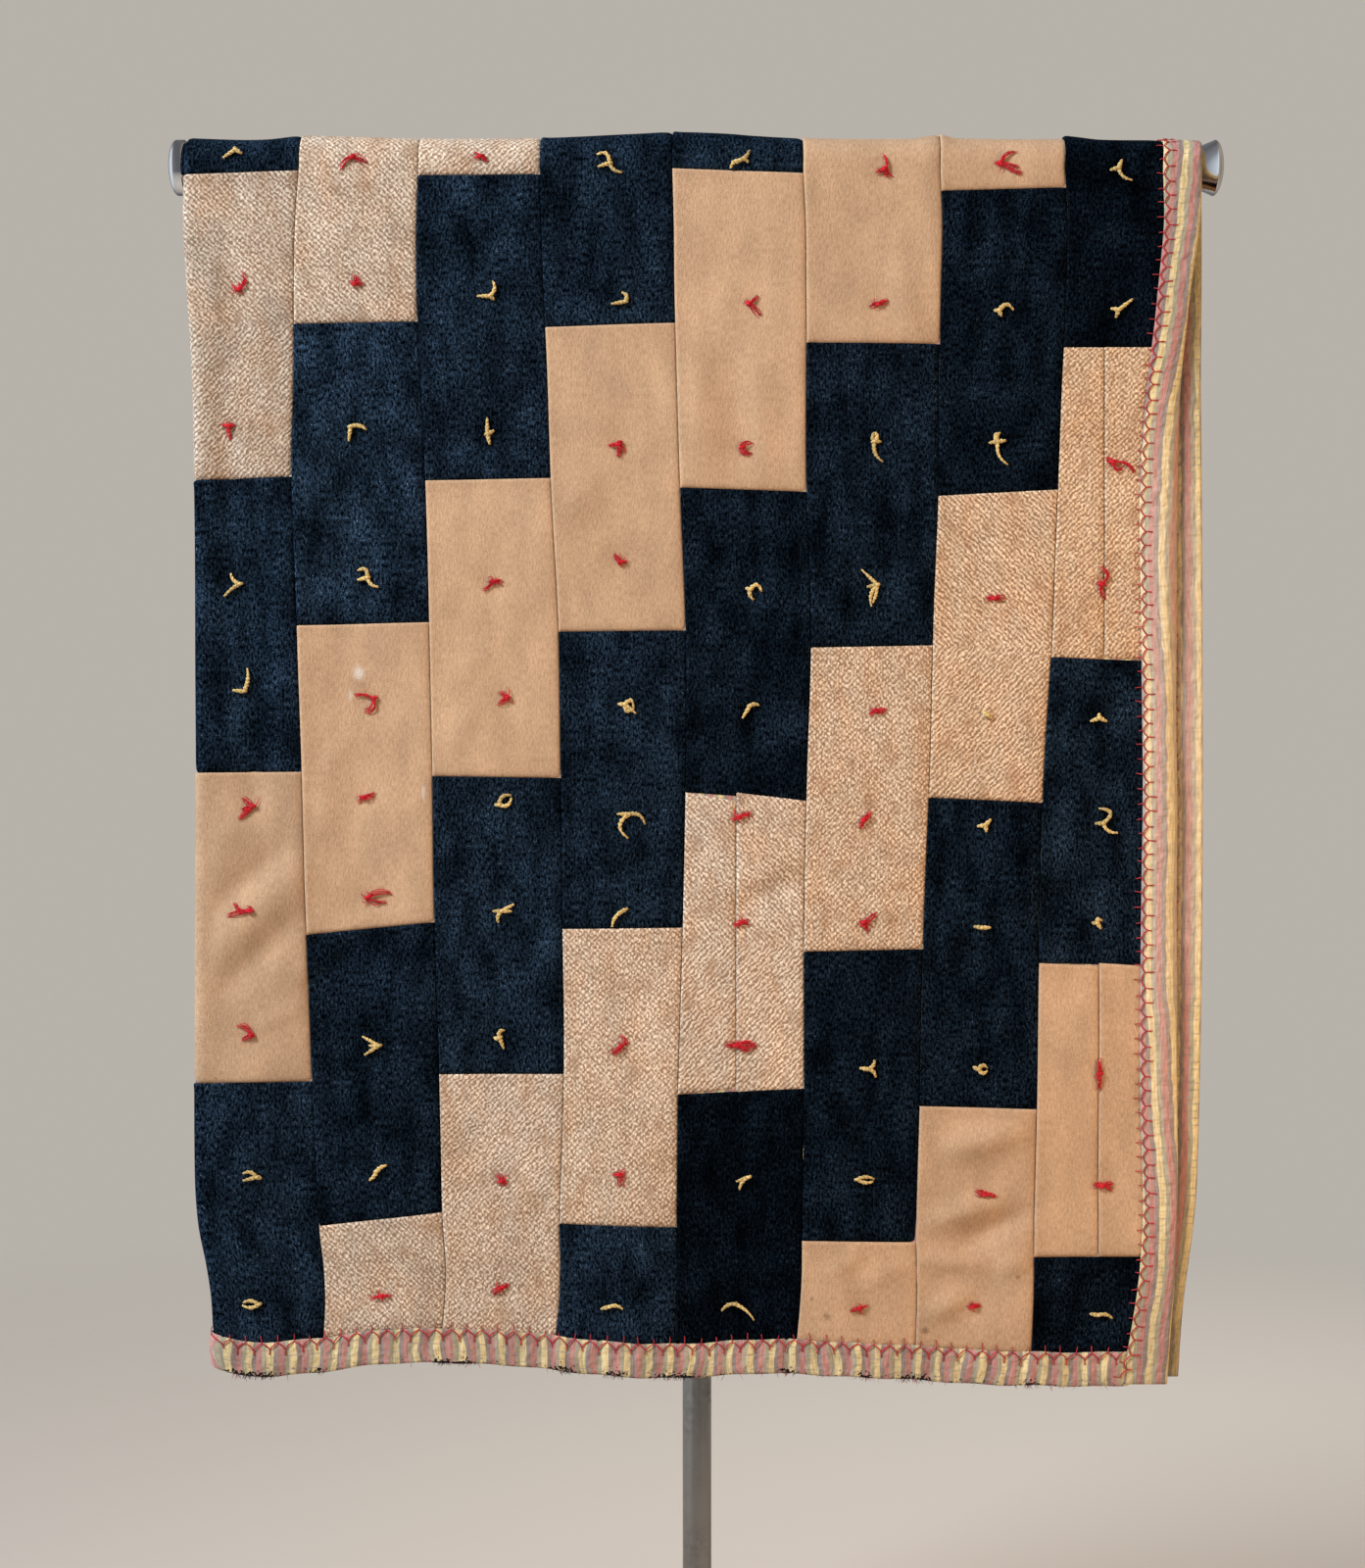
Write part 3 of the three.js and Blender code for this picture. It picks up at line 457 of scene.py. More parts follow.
@dataclass
class Drape:
    """The whole quilt's hanging shape: where any place of the cloth lies in space, in millimetres.

    Across a level section, places count from 0 at the outer layer's bound edge to 1 at the fold, 2 round it
    and 3 at the inner layer's edge. Along the cloth they count from 0 at the front hem to 1 at the bar, 2
    over it and 3 at the back hem. Down is a share of the drop, and on_back marks the back half.
    """

    front: HangingSide = field(default_factory=partial(HangingSide, FRONT_SECTIONS, FRONT_HEM, FRONT_FOLDS))
    back: HangingSide = field(default_factory=partial(HangingSide, BACK_SECTIONS, BACK_HEM, BACK_FOLDS))
    relief: Relief = field(default_factory=Relief)
    top_rise: Curve = field(default_factory=partial(curve_through, TOP_LINE))
    step: float = 1e-4
    fold_relief_fade: float = 20.0

    def either(self, on_back: Array, read: Callable[[HangingSide], Array]) -> Array:
        """Read something of the half that each place is on."""
        return np.where(on_back, read(self.back), read(self.front))

    def edge(self, name: str, down: Array, on_back: Array) -> Array:
        """Read one column of the sections at shares of the drop."""
        return self.either(on_back, lambda side: side.edges[name](down))

    def drop(self, x: Array, shorter: Array, on_back: Array) -> Array:
        """Give how far the hem hangs below the bar's axis, less on the inner layer."""
        return self.either(on_back, lambda side: side.drop(x)) - INNER_LAYER_SHORTER * shorter

    def spread(self, share: Array, x: Array, down: Array, on_back: Array) -> Array:
        """Give the outer layer's extra distance from the inner one.

        Args:
            share: Share of the width from the fold to the bound edge.
            x: Places across, in millimetres.
            down: Share of the drop.
            on_back: Whether a place is on the back half.

        Returns:
            Distances.
        """
        at_fold = self.edge("fold_spread", down, on_back) * (1 - share) ** 2
        at_edge = self.edge("edge_spread", down, on_back) * share**2
        between = MIDDLE_SPREAD * np.sqrt(down) * share * (1 - share)
        return at_fold + at_edge + between + self.either(on_back, lambda side: side.fold_relief(x, down))

    def section(self, across: Array, down: Array, on_back: Array) -> tuple[Array, Array, Array]:
        """Place points in the level sections at their heights.

        Args:
            across: Places across the section.
            down: Share of the drop.
            on_back: Whether a place is on the back half.

        Returns:
            x, the depth out from the post's plane, and the share of the inner layer's shortness.
        """
        fold = self.edge("fold", down, on_back)
        fold_spread = self.spread(np.zeros_like(down), fold, down, on_back)
        fold_inner = INNER_DEPTH + INNER_FOLLOWS_OUTER * fold_spread
        fold_outer = OUTER_DEPTH + fold_spread
        half = (fold_outer - fold_inner) / 2
        centre = fold + QUILT_THICKNESS / 2 + half
        on_outer = across <= 1
        share = np.maximum(np.where(on_outer, 1 - across, across - 2), 0)
        outer_edge, inner_edge = (self.edge(name, down, on_back) for name in ("outer_edge", "inner_edge"))
        x = centre + (np.where(on_outer, outer_edge, inner_edge) - EDGE_LIP - centre) * share
        spread = self.spread(share, x, down, on_back)
        spread = fold_spread + (spread - fold_spread) * ease(share, 0, FIRST_SEAM_SHARE)
        lift = EDGE_LIP * np.clip((share - EDGE_LIFT[0]) / (EDGE_LIFT[1] - EDGE_LIFT[0]), 0, 1)
        lift = lift * ease(down, 0, EDGE_FLAT_REACH)
        roll = self.edge("edge_roll", down, on_back) * ease(share, *EDGE_ROLL)
        inner_depth = INNER_DEPTH + INNER_FOLLOWS_OUTER * spread
        depth = np.where(on_outer, OUTER_DEPTH + spread - roll, inner_depth) + lift
        in_fold = (across > 1) & (across < 2)
        angle = (across - 1) * np.pi
        x = np.where(in_fold, centre - half * np.sin(angle), x)
        depth = np.where(in_fold, (fold_outer + fold_inner) / 2 + half * np.cos(angle), depth)
        return x * (1 - HEM_NARROWING * down), depth, np.clip(across - 1, 0, 1) * share

    def middle(self, across: Array, along: Array) -> Array:
        """Give points of the cloth's middle surface.

        Args:
            across: Places across the section.
            along: Places along the cloth.

        Returns:
            Points, with x, y and z in the last axis.
        """
        on_back = along >= 2
        on_arc = (along > 1) & (along < 2)
        down = np.where(on_back, along - 2, np.maximum(1 - along, 0))
        x, depth, shorter = self.section(across, down, on_back)
        angle = (along - 1) * np.pi
        outer = np.clip(2 - across, 0, 1)
        flare = TOP_FLARE * outer * np.clip(x / LAYER_WIDTH * 2, 0, 1) ** 2
        x = x + np.where(on_arc, flare * np.sin(angle), 0)
        radius = depth + np.where(on_arc, outer * self.top_rise(x) * np.sin(angle), 0)
        y = np.where(on_arc, -radius * np.cos(angle), np.where(on_back, depth, -depth))
        hanging = -down * self.drop(x, shorter, on_back)
        z = BAR_AXIS_HEIGHT + np.where(on_arc, radius * np.sin(angle), hanging)
        return np.stack([x, y, z], axis=-1)

    def across_of(self, span: Array) -> Array:
        """Turn spans into places across the section."""
        inner = np.where(span < FOLD_WIDTH, 1 + span / FOLD_WIDTH, 2 + (span - FOLD_WIDTH) / LAYER_WIDTH)
        return np.where(span <= 0, 1 + span / LAYER_WIDTH, inner)

    def along_of(self, across: Array, run: Array) -> Array:
        """Turn runs into places along the cloth.

        Args:
            across: Places across the section.
            run: Runs there.

        Returns:
            Places along.
        """
        on_back = run < -ARC_LENGTH
        below_bar = np.where(on_back, -run - ARC_LENGTH, np.maximum(run, 0))
        x, _, shorter = self.section(across, below_bar / TYPICAL_DROP, on_back)
        down = below_bar / self.drop(x, shorter, on_back)
        return np.where(on_back, 2 + down, np.where(run >= 0, 1 - down, 1 - run / ARC_LENGTH))

    def hem_run(self, span: Array, on_back: bool) -> Array:
        """Give the run of a hem's lower edge at spans.

        Args:
            span: Spans along the hem.
            on_back: Whether it is the back hem.

        Returns:
            Runs.
        """
        across = np.asarray(self.across_of(np.asarray(span, float)))
        x, _, shorter = self.section(across, np.ones_like(across), np.full(across.shape, on_back))
        drop = self.drop(x, shorter, on_back)
        return -ARC_LENGTH - drop if on_back else drop

    def span_at(self, x: Reals, run: Reals) -> Array:
        """Give the outer layer's span at a place across and a run.

        Args:
            x: Places across, in millimetres.
            run: Runs.

        Returns:
            Spans.
        """
        x, run = np.broadcast_arrays(np.asarray(x, float), np.asarray(run, float))
        on_back = run < -ARC_LENGTH
        down = np.clip(np.where(on_back, -run - ARC_LENGTH, run) / TYPICAL_DROP, 0, 1)
        edge_x, fold_x = (self.section(np.full(down.shape, end), down, on_back)[0] for end in (0.0, 1.0))
        return -LAYER_WIDTH * (x * (1 - HEM_NARROWING * down) - fold_x) / (edge_x - fold_x)

    def surface(self, span: Array, run: Array, out: Reals) -> tuple[Array, Array]:
        """Give points off the cloth's middle, with the small relief of the outer layer.

        Args:
            span: Places across the cloth.
            run: Places along it.
            out: Distance off the middle, towards the pieced face.

        Returns:
            Points, and the pieced face's normals there.
        """
        span, run, out = np.broadcast_arrays(*(np.asarray(v, float) for v in (span, run, out)))
        across = self.across_of(span)
        along = self.along_of(across, run)
        point = self.middle(across, along)
        across_way = self.middle(across + self.step, along) - self.middle(across - self.step, along)
        along_way = self.middle(across, along + self.step) - self.middle(across, along - self.step)
        normal = unit(np.cross(along_way, across_way))
        lift = self.relief.height(point[..., 0], run) * ease(-span, 0, self.fold_relief_fade)
        return point + normal * (out + lift)[..., None], normal


CLOTH_MAP, TONE, WEAR = "cloth", "tone", "wear"


@dataclass
class MeshParts:
    """Collects the points and faces of one piece, with its cloth measures, tones and wear.

    The cloth measures are two for each point, in millimetres. A tone is the shade of a yarn or a patch, from
    -1 to 1, and on the patches and hems it also holds painted shade. Wear goes from 0 to 1, and on tweed it
    says how the lines lean, from -1 to 1.
    """

    points: list[Array] = field(default_factory=list)
    faces: list[Array] = field(default_factory=list)
    cloth: list[Array] = field(default_factory=list)
    tone: list[Array] = field(default_factory=list)
    wear: list[Array] = field(default_factory=list)
    count: int = 0

    def add(self, points: Array, faces: list[Array], cloth: Array, tone: Reals, wear: Reals = 0.0) -> None:
        """Add points with their faces.

        Args:
            points: Points in millimetres, in any grid.
            faces: Arrays of faces, each with one face a row.
            cloth: Cloth measures of each point.
            tone: Shade of all or of each.
            wear: Wear of all or of each.
        """
        number = points.size // 3
        self.points.append(points.reshape(-1, 3))
        self.cloth.append(cloth.reshape(-1, 2))
        self.faces.extend(rows + self.count for rows in faces)
        for kept, values in ((self.tone, tone), (self.wear, wear)):
            kept.append(np.broadcast_to(np.asarray(values, float).ravel(), number))
        self.count += number

    def add_grid(
        self, points: Array, cloth: Array, tone: Reals = 0.0, wear: Reals = 0.0, ring: bool = False
    ) -> None:
        """Add a grid of points, its second axis joined round and its ends closed where it is a ring.

        Args:
            points: Points in rows and columns.
            cloth: Cloth measures of each point.
            tone: Shade of the whole grid or of each place.
            wear: Wear of the whole grid or of each place.
            ring: Whether the columns close on themselves.
        """
        rows, columns = points.shape[:2]
        index = np.arange(rows * columns).reshape(rows, columns)
        following = np.roll(index, -1, axis=1) if ring else index[:, 1:]
        index = index if ring else index[:, :-1]
        corners = (index[:-1], following[:-1], following[1:], index[1:])
        faces = [np.stack(corners, axis=-1).reshape(-1, 4)]
        if ring:
            pairs = columns // 2
            for row, way in ((index[0], 1), (index[-1], -1)):
                near, far = row[:pairs], row[::-1][:pairs]
                closing = np.stack([near[1:], near[:-1], far[:-1], far[1:]], axis=-1)
                faces.append(closing[:, ::way])
        self.add(points, faces, cloth, tone, wear)

    def add_tubes(self, points: Array, normals: Array, radius: Array, tone: Array, sides: int = 5) -> None:
        """Add round strands.

        Args:
            points: Strands, points along each, and x, y, z.
            normals: A direction off each strand at each point.
            radius: Radius at each point of each strand.
            tone: Shade of each strand.
            sides: Sides of the strands.
        """
        strands, steps = points.shape[:2]
        shape = (strands, steps, sides)
        way = unit(np.gradient(points, axis=1))
        side = unit(np.cross(way, normals))
        rise = np.cross(side, way)
        turn = np.arange(sides) * 2 * np.pi / sides
        around = np.cos(turn)[:, None] * side[:, :, None, :] + np.sin(turn)[:, None] * rise[:, :, None, :]
        radius = np.broadcast_to(radius, (strands, steps))
        rings = points[:, :, None, :] + radius[:, :, None, None] * around
        index = np.arange(math.prod(shape)).reshape(shape)
        beside = np.roll(index, -1, axis=2)
        corners = (index[:, :-1], index[:, 1:], beside[:, 1:], beside[:, :-1])
        faces = [np.stack(corners, axis=-1).reshape(-1, 4), index[:, 0, :], index[:, -1, ::-1]]
        lengths = np.cumsum(np.linalg.norm(np.diff(points, axis=1), axis=2), axis=1)
        along = np.concatenate([np.zeros((strands, 1)), lengths], axis=1)[:, :, None]
        cloth = np.stack(np.broadcast_arrays(along, turn / (2 * np.pi)), axis=-1)
        self.add(rings, faces, cloth, np.broadcast_to(np.reshape(tone, (-1, 1, 1)), shape))

    def build(self, name: str, material: Material, slot: str, replaces: str = "") -> Piece:
        """Make the piece, in metres, with its cloth map and its tone and wear attributes.

        Args:
            name: The piece's name.
            material: Its finish.
            slot: The finish's slot; not used.
            replaces: The solid that it stands for, if any.

        Returns:
            The new piece.
        """
        mesh = bpy.data.meshes.new(name)
        faces = [face for rows in self.faces for face in rows.tolist()]
        mesh.from_pydata((np.concatenate(self.points) * MM).tolist(), [], faces)
        corners = np.zeros(len(mesh.loops), np.int32)
        mesh.loops.foreach_get("vertex_index", corners)
        cloth = np.concatenate(self.cloth) * MM
        mesh.uv_layers.new(name=CLOTH_MAP).data.foreach_set("uv", cloth[corners].astype(np.float32).ravel())
        for label, values in ((TONE, self.tone), (WEAR, self.wear)):
            attribute = mesh.attributes.new(label, "FLOAT", "POINT")
            attribute.data.foreach_set("value", np.concatenate(values).astype(np.float32))
        mesh.shade_smooth()
        mesh.materials.append(material)
        piece = bpy.data.objects.new(name, mesh)
        bpy.context.scene.collection.objects.link(piece)
        if replaces:
            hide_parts(replaces)
        return piece


class Value:
    """A node's output, which sums and products can be written with."""

    def __init__(self, graph: "Graph", socket: bpy.types.NodeSocket) -> None:
        """Keep the output and its graph."""
        self.graph, self.socket = graph, socket

    def __add__(self, other: "Feed") -> "Value":
        """Add a value."""
        return self.graph.math("ADD", self, other)

    def __sub__(self, other: "Feed") -> "Value":
        """Subtract a value."""
        return self.graph.math("SUBTRACT", self, other)

    def __rsub__(self, other: float) -> "Value":
        """Subtract from a plain value."""
        return self.graph.math("SUBTRACT", other, self)

    def __mul__(self, other: "Feed") -> "Value":
        """Multiply by a value."""
        return self.graph.math("MULTIPLY", self, other)

    def __truediv__(self, other: "Feed") -> "Value":
        """Divide by a value."""
        return self.graph.math("DIVIDE", self, other)

    def __rtruediv__(self, other: float) -> "Value":
        """Divide a plain value."""
        return self.graph.math("DIVIDE", other, self)

    def fit(self, low: float, high: float, to_low: float = 0.0, to_high: float = 1.0) -> "Value":
        """Map a range of values onto another, held at its ends."""
        return self.graph.value("MapRange", {0: self, 1: low, 2: high, 3: to_low, 4: to_high})


Feed = Value | float | tuple[float, ...]
Key = str | int
Inputs = dict[Key, Feed]


class Graph:
    """Short calls for adding nodes to one shader tree and linking them."""

    def __init__(self, tree: bpy.types.NodeTree) -> None:
        """Work on this tree."""
        self.tree = tree

    def feed(self, socket: bpy.types.NodeSocket, value: Feed) -> None:
        """Link a socket to a value, or set a plain value or an opaque colour on it."""
        if isinstance(value, Value):
            self.tree.links.new(value.socket, socket)
        else:
            socket.default_value = (*value, 1.0) if socket.type == "RGBA" else value

    def node(self, kind: str, inputs: Inputs | None = None, **settings: object) -> bpy.types.Node:
        """Add a node.

        Args:
            kind: The node's type.
            inputs: What feeds its sockets, by name or number.
            settings: Its other properties.

        Returns:
            The new node.
        """
        made = self.tree.nodes.new("ShaderNode" + kind)
        for name, value in settings.items():
            setattr(made, name, value)
        for name, value in (inputs or {}).items():
            self.feed(made.inputs[name], value)
        return made

    def value(self, kind: str, inputs: Inputs | None = None, output: Key = 0, **settings: object) -> Value:
        """Add a node in the same way and give one of its outputs."""
        return Value(self, self.node(kind, inputs, **settings).outputs[output])

    def math(self, operation: str, *values: Feed) -> Value:
        """Add a Math node and give its result."""
        return self.value("Math", dict(enumerate(values)), operation=operation)

    def vector(self, operation: str, *values: Feed) -> Value:
        """Add a Vector Math node and give its vector result."""
        return self.value("VectorMath", dict(enumerate(values)), operation=operation)

    def length(self, vector: Feed) -> Value:
        """Give a vector's length."""
        return self.value("VectorMath", {0: vector}, "Value", operation="LENGTH")

    def split(self, vector: Feed) -> list[Value]:
        """Give a vector's three parts."""
        return [Value(self, socket) for socket in self.node("SeparateXYZ", {0: vector}).outputs]

    def noise(self, place: Feed, scale: Feed, detail: float, output: Key = 0) -> Value:
        """Add a noise texture and give its value, or its colour."""
        return self.value("TexNoise", {"Vector": place, "Scale": scale, "Detail": detail}, output)

    def scale(self, colour: Feed, amount: Feed) -> Value:
        """Brighten or darken a colour by a factor."""
        return self.value("VectorMath", {0: colour, "Scale": amount}, operation="SCALE")

    def mix(self, factor: Feed, first: Feed, second: Feed) -> Value:
        """Mix two colours."""
        return self.value("Mix", {0: factor, 6: first, 7: second}, 2, data_type="RGBA")

    def ramp(self, place: Feed, stops: Sequence[tuple[float, Colour]]) -> Value:
        """Add a colour ramp.

        Args:
            place: Where it is read, from 0 to 1.
            stops: Its places and their colours.

        Returns:
            The colour.
        """
        made = self.node("ValToRGB", {0: place})
        elements = made.color_ramp.elements
        while len(elements) < len(stops):
            elements.new(0.5)
        for element, (position, colour) in zip(elements, stops):
            element.position = position
            element.color = (*colour, 1.0)
        return Value(self, made.outputs[0])

    def shared(self, group: bpy.types.NodeTree, **inputs: Feed) -> Value:
        """Place a shared node group and give its output."""
        return self.value("Group", inputs, node_tree=group)


class SharedEffect(Graph):
    """A node group that several finishes use, from a cloth vector and some values to one value."""

    def __init__(self, name: str, **values: float) -> None:
        """Start a group with its inputs, each at its default, and its output."""
        super().__init__(bpy.data.node_groups.new(name, "ShaderNodeTree"))
        face = self.tree.interface
        face.new_socket(name="Cloth", in_out="INPUT", socket_type="NodeSocketVector")
        for label, default in values.items():
            face.new_socket(name=label, in_out="INPUT", socket_type="NodeSocketFloat").default_value = default
        face.new_socket(name="Value", in_out="OUTPUT", socket_type="NodeSocketFloat")
        entry = self.tree.nodes.new("NodeGroupInput")
        self.given = {socket.name: Value(self, socket) for socket in entry.outputs}

    def close(self, result: Value) -> bpy.types.NodeTree:
        """Feed the output and give the group."""
        self.feed(self.tree.nodes.new("NodeGroupOutput").inputs[0], result)
        return self.tree


@cache
def nap_group() -> bpy.types.NodeTree:
    """Build the fibre nap: short soft flecks, longer along the cloth, as a value from 0 to 1."""
    effect = SharedEffect("fibre nap", Size=0.002, Stretch=2.0)
    across = 1.0 / effect.given["Size"]
    scale = effect.value("CombineXYZ", {0: across, 1: across / effect.given["Stretch"], 2: across})
    place = effect.vector("MULTIPLY", effect.given["Cloth"], scale)
    return effect.close(effect.noise(place, 1.0, 2.0).fit(0.28, 0.72))


@cache
def mottle_group() -> bpy.types.NodeTree:
    """Build the slow unevenness of a cloth's colour, as a factor round 1."""
    effect = SharedEffect("mottling", Size=0.05, Amount=0.1)
    swing = effect.noise(effect.given["Cloth"], 1.0 / effect.given["Size"], 3.0).fit(0.25, 0.75, -1.0, 1.0)
    return effect.close(swing * effect.given["Amount"] + 1.0)


@cache
def weave_group() -> bpy.types.NodeTree:
    """Build a plain weave as a value from 0 to 1; Lean favours one diagonal and Rib the upright threads."""
    effect = SharedEffect("plain weave", Pitch=0.0026, Lean=0.0, Rib=0.5)
    step, lean = math.pi / effect.given["Pitch"], effect.given["Lean"]
    across, along = (part * step for part in effect.split(effect.given["Cloth"])[:2])
    ways = (across + along, across - along, across * 2.0)
    rising, falling, threads = (effect.math("COSINE", way) for way in ways)
    both = rising * (lean + 1.0) + falling * (1.0 - lean)
    return effect.close((threads * effect.given["Rib"] + both).fit(-2.1, 2.1))


class Surface(Graph):
    """A material's graph, ending in one Principled surface."""

    def __init__(self, name: str) -> None:
        """Start an empty material with its surface and output."""
        self.material = bpy.data.materials.new(name)
        self.material.use_nodes = True
        super().__init__(self.material.node_tree)
        self.tree.nodes.clear()
        self.shader = self.node("BsdfPrincipled")
        self.node("OutputMaterial", {0: Value(self, self.shader.outputs[0])})

    @cached_property
    def cloth(self) -> Value:
        """The cloth's own measures, in metres."""
        return self.value("UVMap", uv_map=CLOTH_MAP)

    @cached_property
    def spot(self) -> Value:
        """The place in space, in metres."""
        return self.value("TexCoord", output="Object")

    def attribute(self, name: str) -> Value:
        """Give a mesh attribute's value."""
        return self.value("Attribute", output="Fac", attribute_name=name)

    def nap(self, size: float, stretch: float, place: Value | None = None) -> Value:
        """Add fibre nap, from 0 to 1, by the cloth's measures or another place."""
        return self.shared(nap_group(), Cloth=place or self.cloth, Size=size, Stretch=stretch)

    def mottle(self, size: float, amount: float, place: Value | None = None) -> Value:
        """Add mottling, a factor round 1, by the cloth's measures or another place."""
        return self.shared(mottle_group(), Cloth=place or self.cloth, Size=size, Amount=amount)

    def dress(self, colour: Feed, height: Value | None, depth: float, **plain: Feed) -> Material:
        """Feed the surface.

        Args:
            colour: Base colour.
            height: Bump height from 0 to 1, if any.
            depth: What a height of 1 stands for, in metres.
            plain: Other sockets of the surface, with spaces as underscores.

        Returns:
            The finished material.
        """
        for name, value in {"Base_Color": colour, **plain}.items():
            self.feed(self.shader.inputs[name.replace("_", " ")], value)
        if height:
            bump = self.value("Bump", {"Height": height, "Strength": 1.0, "Distance": depth})
            self.feed(self.shader.inputs["Normal"], bump)
        return self.material


class Stain(NamedTuple):
    """A small mark on the front, pale where its strength is positive and dark where it is negative."""

    x: float
    run: float
    width: float
    height: float
    strength: float


@dataclass(frozen=True)
class NapCloth:
    """A plain napped wool, navy or peach; a nap has its size and stretch, mottling its size and amount."""

    name: str
    dark: Colour
    light: Colour
    lint: Colour
    lint_share: float
    nap: Pair
    fuzz_share: float
    mottling: Pair
    bump_depth: float
    sheen: float
    sheen_tint: Colour
    specular: float
    contrast: Pair
    stains: tuple[Stain, ...] = ()
    pale_mark: Colour = (0.82, 0.76, 0.68)
    dark_mark: Colour = (0.10, 0.05, 0.035)
    mark_edge: Pair = (0.7, 1.3)
    mark_fuzz: float = 0.8
    fuzz_scale: float = 0.42
    fuzz_stretch: float = 1.6
    streak: Pair = (0.018, 3.0)
    lint_window: Pair = (0.62, 0.85)

    def material(self) -> Material:
        """Make the material."""
        surface = Surface(self.name)
        swing = self.mottling[1]
        nap = surface.nap(*self.nap)
        fuzz = surface.nap(self.nap[0] * self.fuzz_scale, self.fuzz_stretch)
        # Long upright lighter and darker streaks: painted light and shade of soft upright wrinkles.
        streak = surface.nap(*self.streak).fit(0.0, 1.0, 1 - swing, 1 + swing)
        tone = (surface.attribute(TONE) + 1.0) * surface.mottle(*self.mottling) * streak
        grain = fuzz * self.fuzz_share + nap * (1 - self.fuzz_share)
        colour = surface.mix(grain.fit(*self.contrast), self.dark, self.light)
        speck = (fuzz * nap).fit(*self.lint_window, 0.0, self.lint_share)
        colour = surface.scale(surface.mix(speck, colour, self.lint), tone)
        for stain in self.stains:
            colour = self.marked(surface, colour, stain, fuzz)
        return surface.dress(
            colour, grain, self.bump_depth, Roughness=0.95, Specular_IOR_Level=self.specular,
            Sheen_Weight=self.sheen, Sheen_Tint=self.sheen_tint, Sheen_Roughness=0.5,
        )

    def marked(self, surface: Surface, colour: Value, stain: Stain, fuzz: Value) -> Value:
        """Add one stain to the colour.

        Args:
            surface: The material's graph.
            colour: The clean colour.
            stain: The mark.
            fuzz: The nap that breaks its edge up.

        Returns:
            The marked colour.
        """
        centre = (stain.x * MM, -OUTER_DEPTH * MM, (BAR_AXIS_HEIGHT - RUN_START - stain.run) * MM)
        reach = (stain.width * MM, BAR_RADIUS * 4 * MM, stain.height * MM)
        away = surface.vector("DIVIDE", surface.vector("SUBTRACT", surface.spot, centre), reach)
        edge = fuzz * self.mark_fuzz + surface.length(away)
        mask = edge.fit(*self.mark_edge, abs(stain.strength), 0.0)
        return surface.mix(mask, colour, self.pale_mark if stain.strength > 0 else self.dark_mark)


@dataclass(frozen=True)
class OatmealTweed:
    """A coarse tweed of cream nubs in tan, whose lines lean one way or the other or stand upright."""

    name: str = "oatmeal_tweed"
    cream: Colour = (0.905, 0.80, 0.65)
    tan: Colour = (0.32, 0.215, 0.15)
    brown: Colour = (0.36, 0.235, 0.150)
    rose: Colour = (0.99, 0.90, 0.83)
    warmth: Colour = (0.90, 0.80, 0.68)
    warm_tones: Pair = (0.09, 0.19)
    pitch: float = 0.0026
    lean_share: float = 0.55
    rib_leans: Pair = (0.0, 0.35)
    rib_shares: Pair = (0.6, 0.1)
    stray: float = 0.0029
    stray_size: float = 0.0065
    patchy: Pair = (0.0075, 1.3)
    patchy_swing: Pair = (0.4, 1.2)
    fleck: Pair = (0.0023, 1.3)
    fleck_share: float = 0.75
    cream_window: Pair = (-0.30, 0.50)
    cloud: Pair = (0.015, 1.6)
    cloud_start: float = 0.55
    cloud_share: float = 0.6
    drift: Pair = (0.022, 2.4)
    drift_window: Pair = (0.35, 0.85)
    mottling: Pair = (0.030, 0.13)
    block: tuple[float, float, float] = (0.047, 0.066, 1.0)
    block_tone: float = 0.06
    bump_window: Pair = (-0.6, 0.6)
    bump_depth: float = 0.0006

    def material(self) -> Material:
        """Make the material."""
        surface = Surface(self.name)
        wander = surface.noise(surface.cloth, 1 / self.stray_size, 1.0, "Color")
        shift = surface.vector("SUBTRACT", wander, (0.5, 0.5, 0.5))
        place = surface.vector("ADD", surface.cloth, surface.scale(shift, self.stray * 2))
        lean = surface.attribute(WEAR) * self.lean_share
        rib = surface.math("ABSOLUTE", lean).fit(*self.rib_leans, *self.rib_shares)
        weave = surface.shared(weave_group(), Cloth=place, Pitch=self.pitch, Lean=lean, Rib=rib)
        ribs = (weave - 0.5) * surface.nap(*self.patchy).fit(0.0, 1.0, *self.patchy_swing)
        yarn = (surface.nap(*self.fleck) - 0.5) * self.fleck_share + ribs
        block = surface.vector("FLOOR", surface.vector("DIVIDE", place, self.block))
        block = surface.value("TexWhiteNoise", {"Vector": block})
        block = block.fit(0.0, 1.0, -self.block_tone, self.block_tone)
        shade = surface.attribute(TONE)
        tone = shade + block + surface.mottle(*self.mottling)
        colour = surface.mix(yarn.fit(*self.cream_window), self.tan, self.cream)
        cloud = surface.nap(*self.cloud, place).fit(self.cloud_start, 1.0, 0.0, self.cloud_share)
        colour = surface.mix(cloud, colour, self.brown)
        rosy = surface.vector("MULTIPLY", colour, self.rose)
        colour = surface.mix(surface.nap(*self.drift).fit(*self.drift_window), colour, rosy)
        warmer = surface.vector("MULTIPLY", colour, self.warmth)
        colour = surface.scale(surface.mix(shade.fit(*self.warm_tones), colour, warmer), tone)
        return surface.dress(
            colour, yarn.fit(*self.bump_window), self.bump_depth, Roughness=0.92, Specular_IOR_Level=0.12,
            Sheen_Weight=0.06, Sheen_Roughness=0.5,
        )


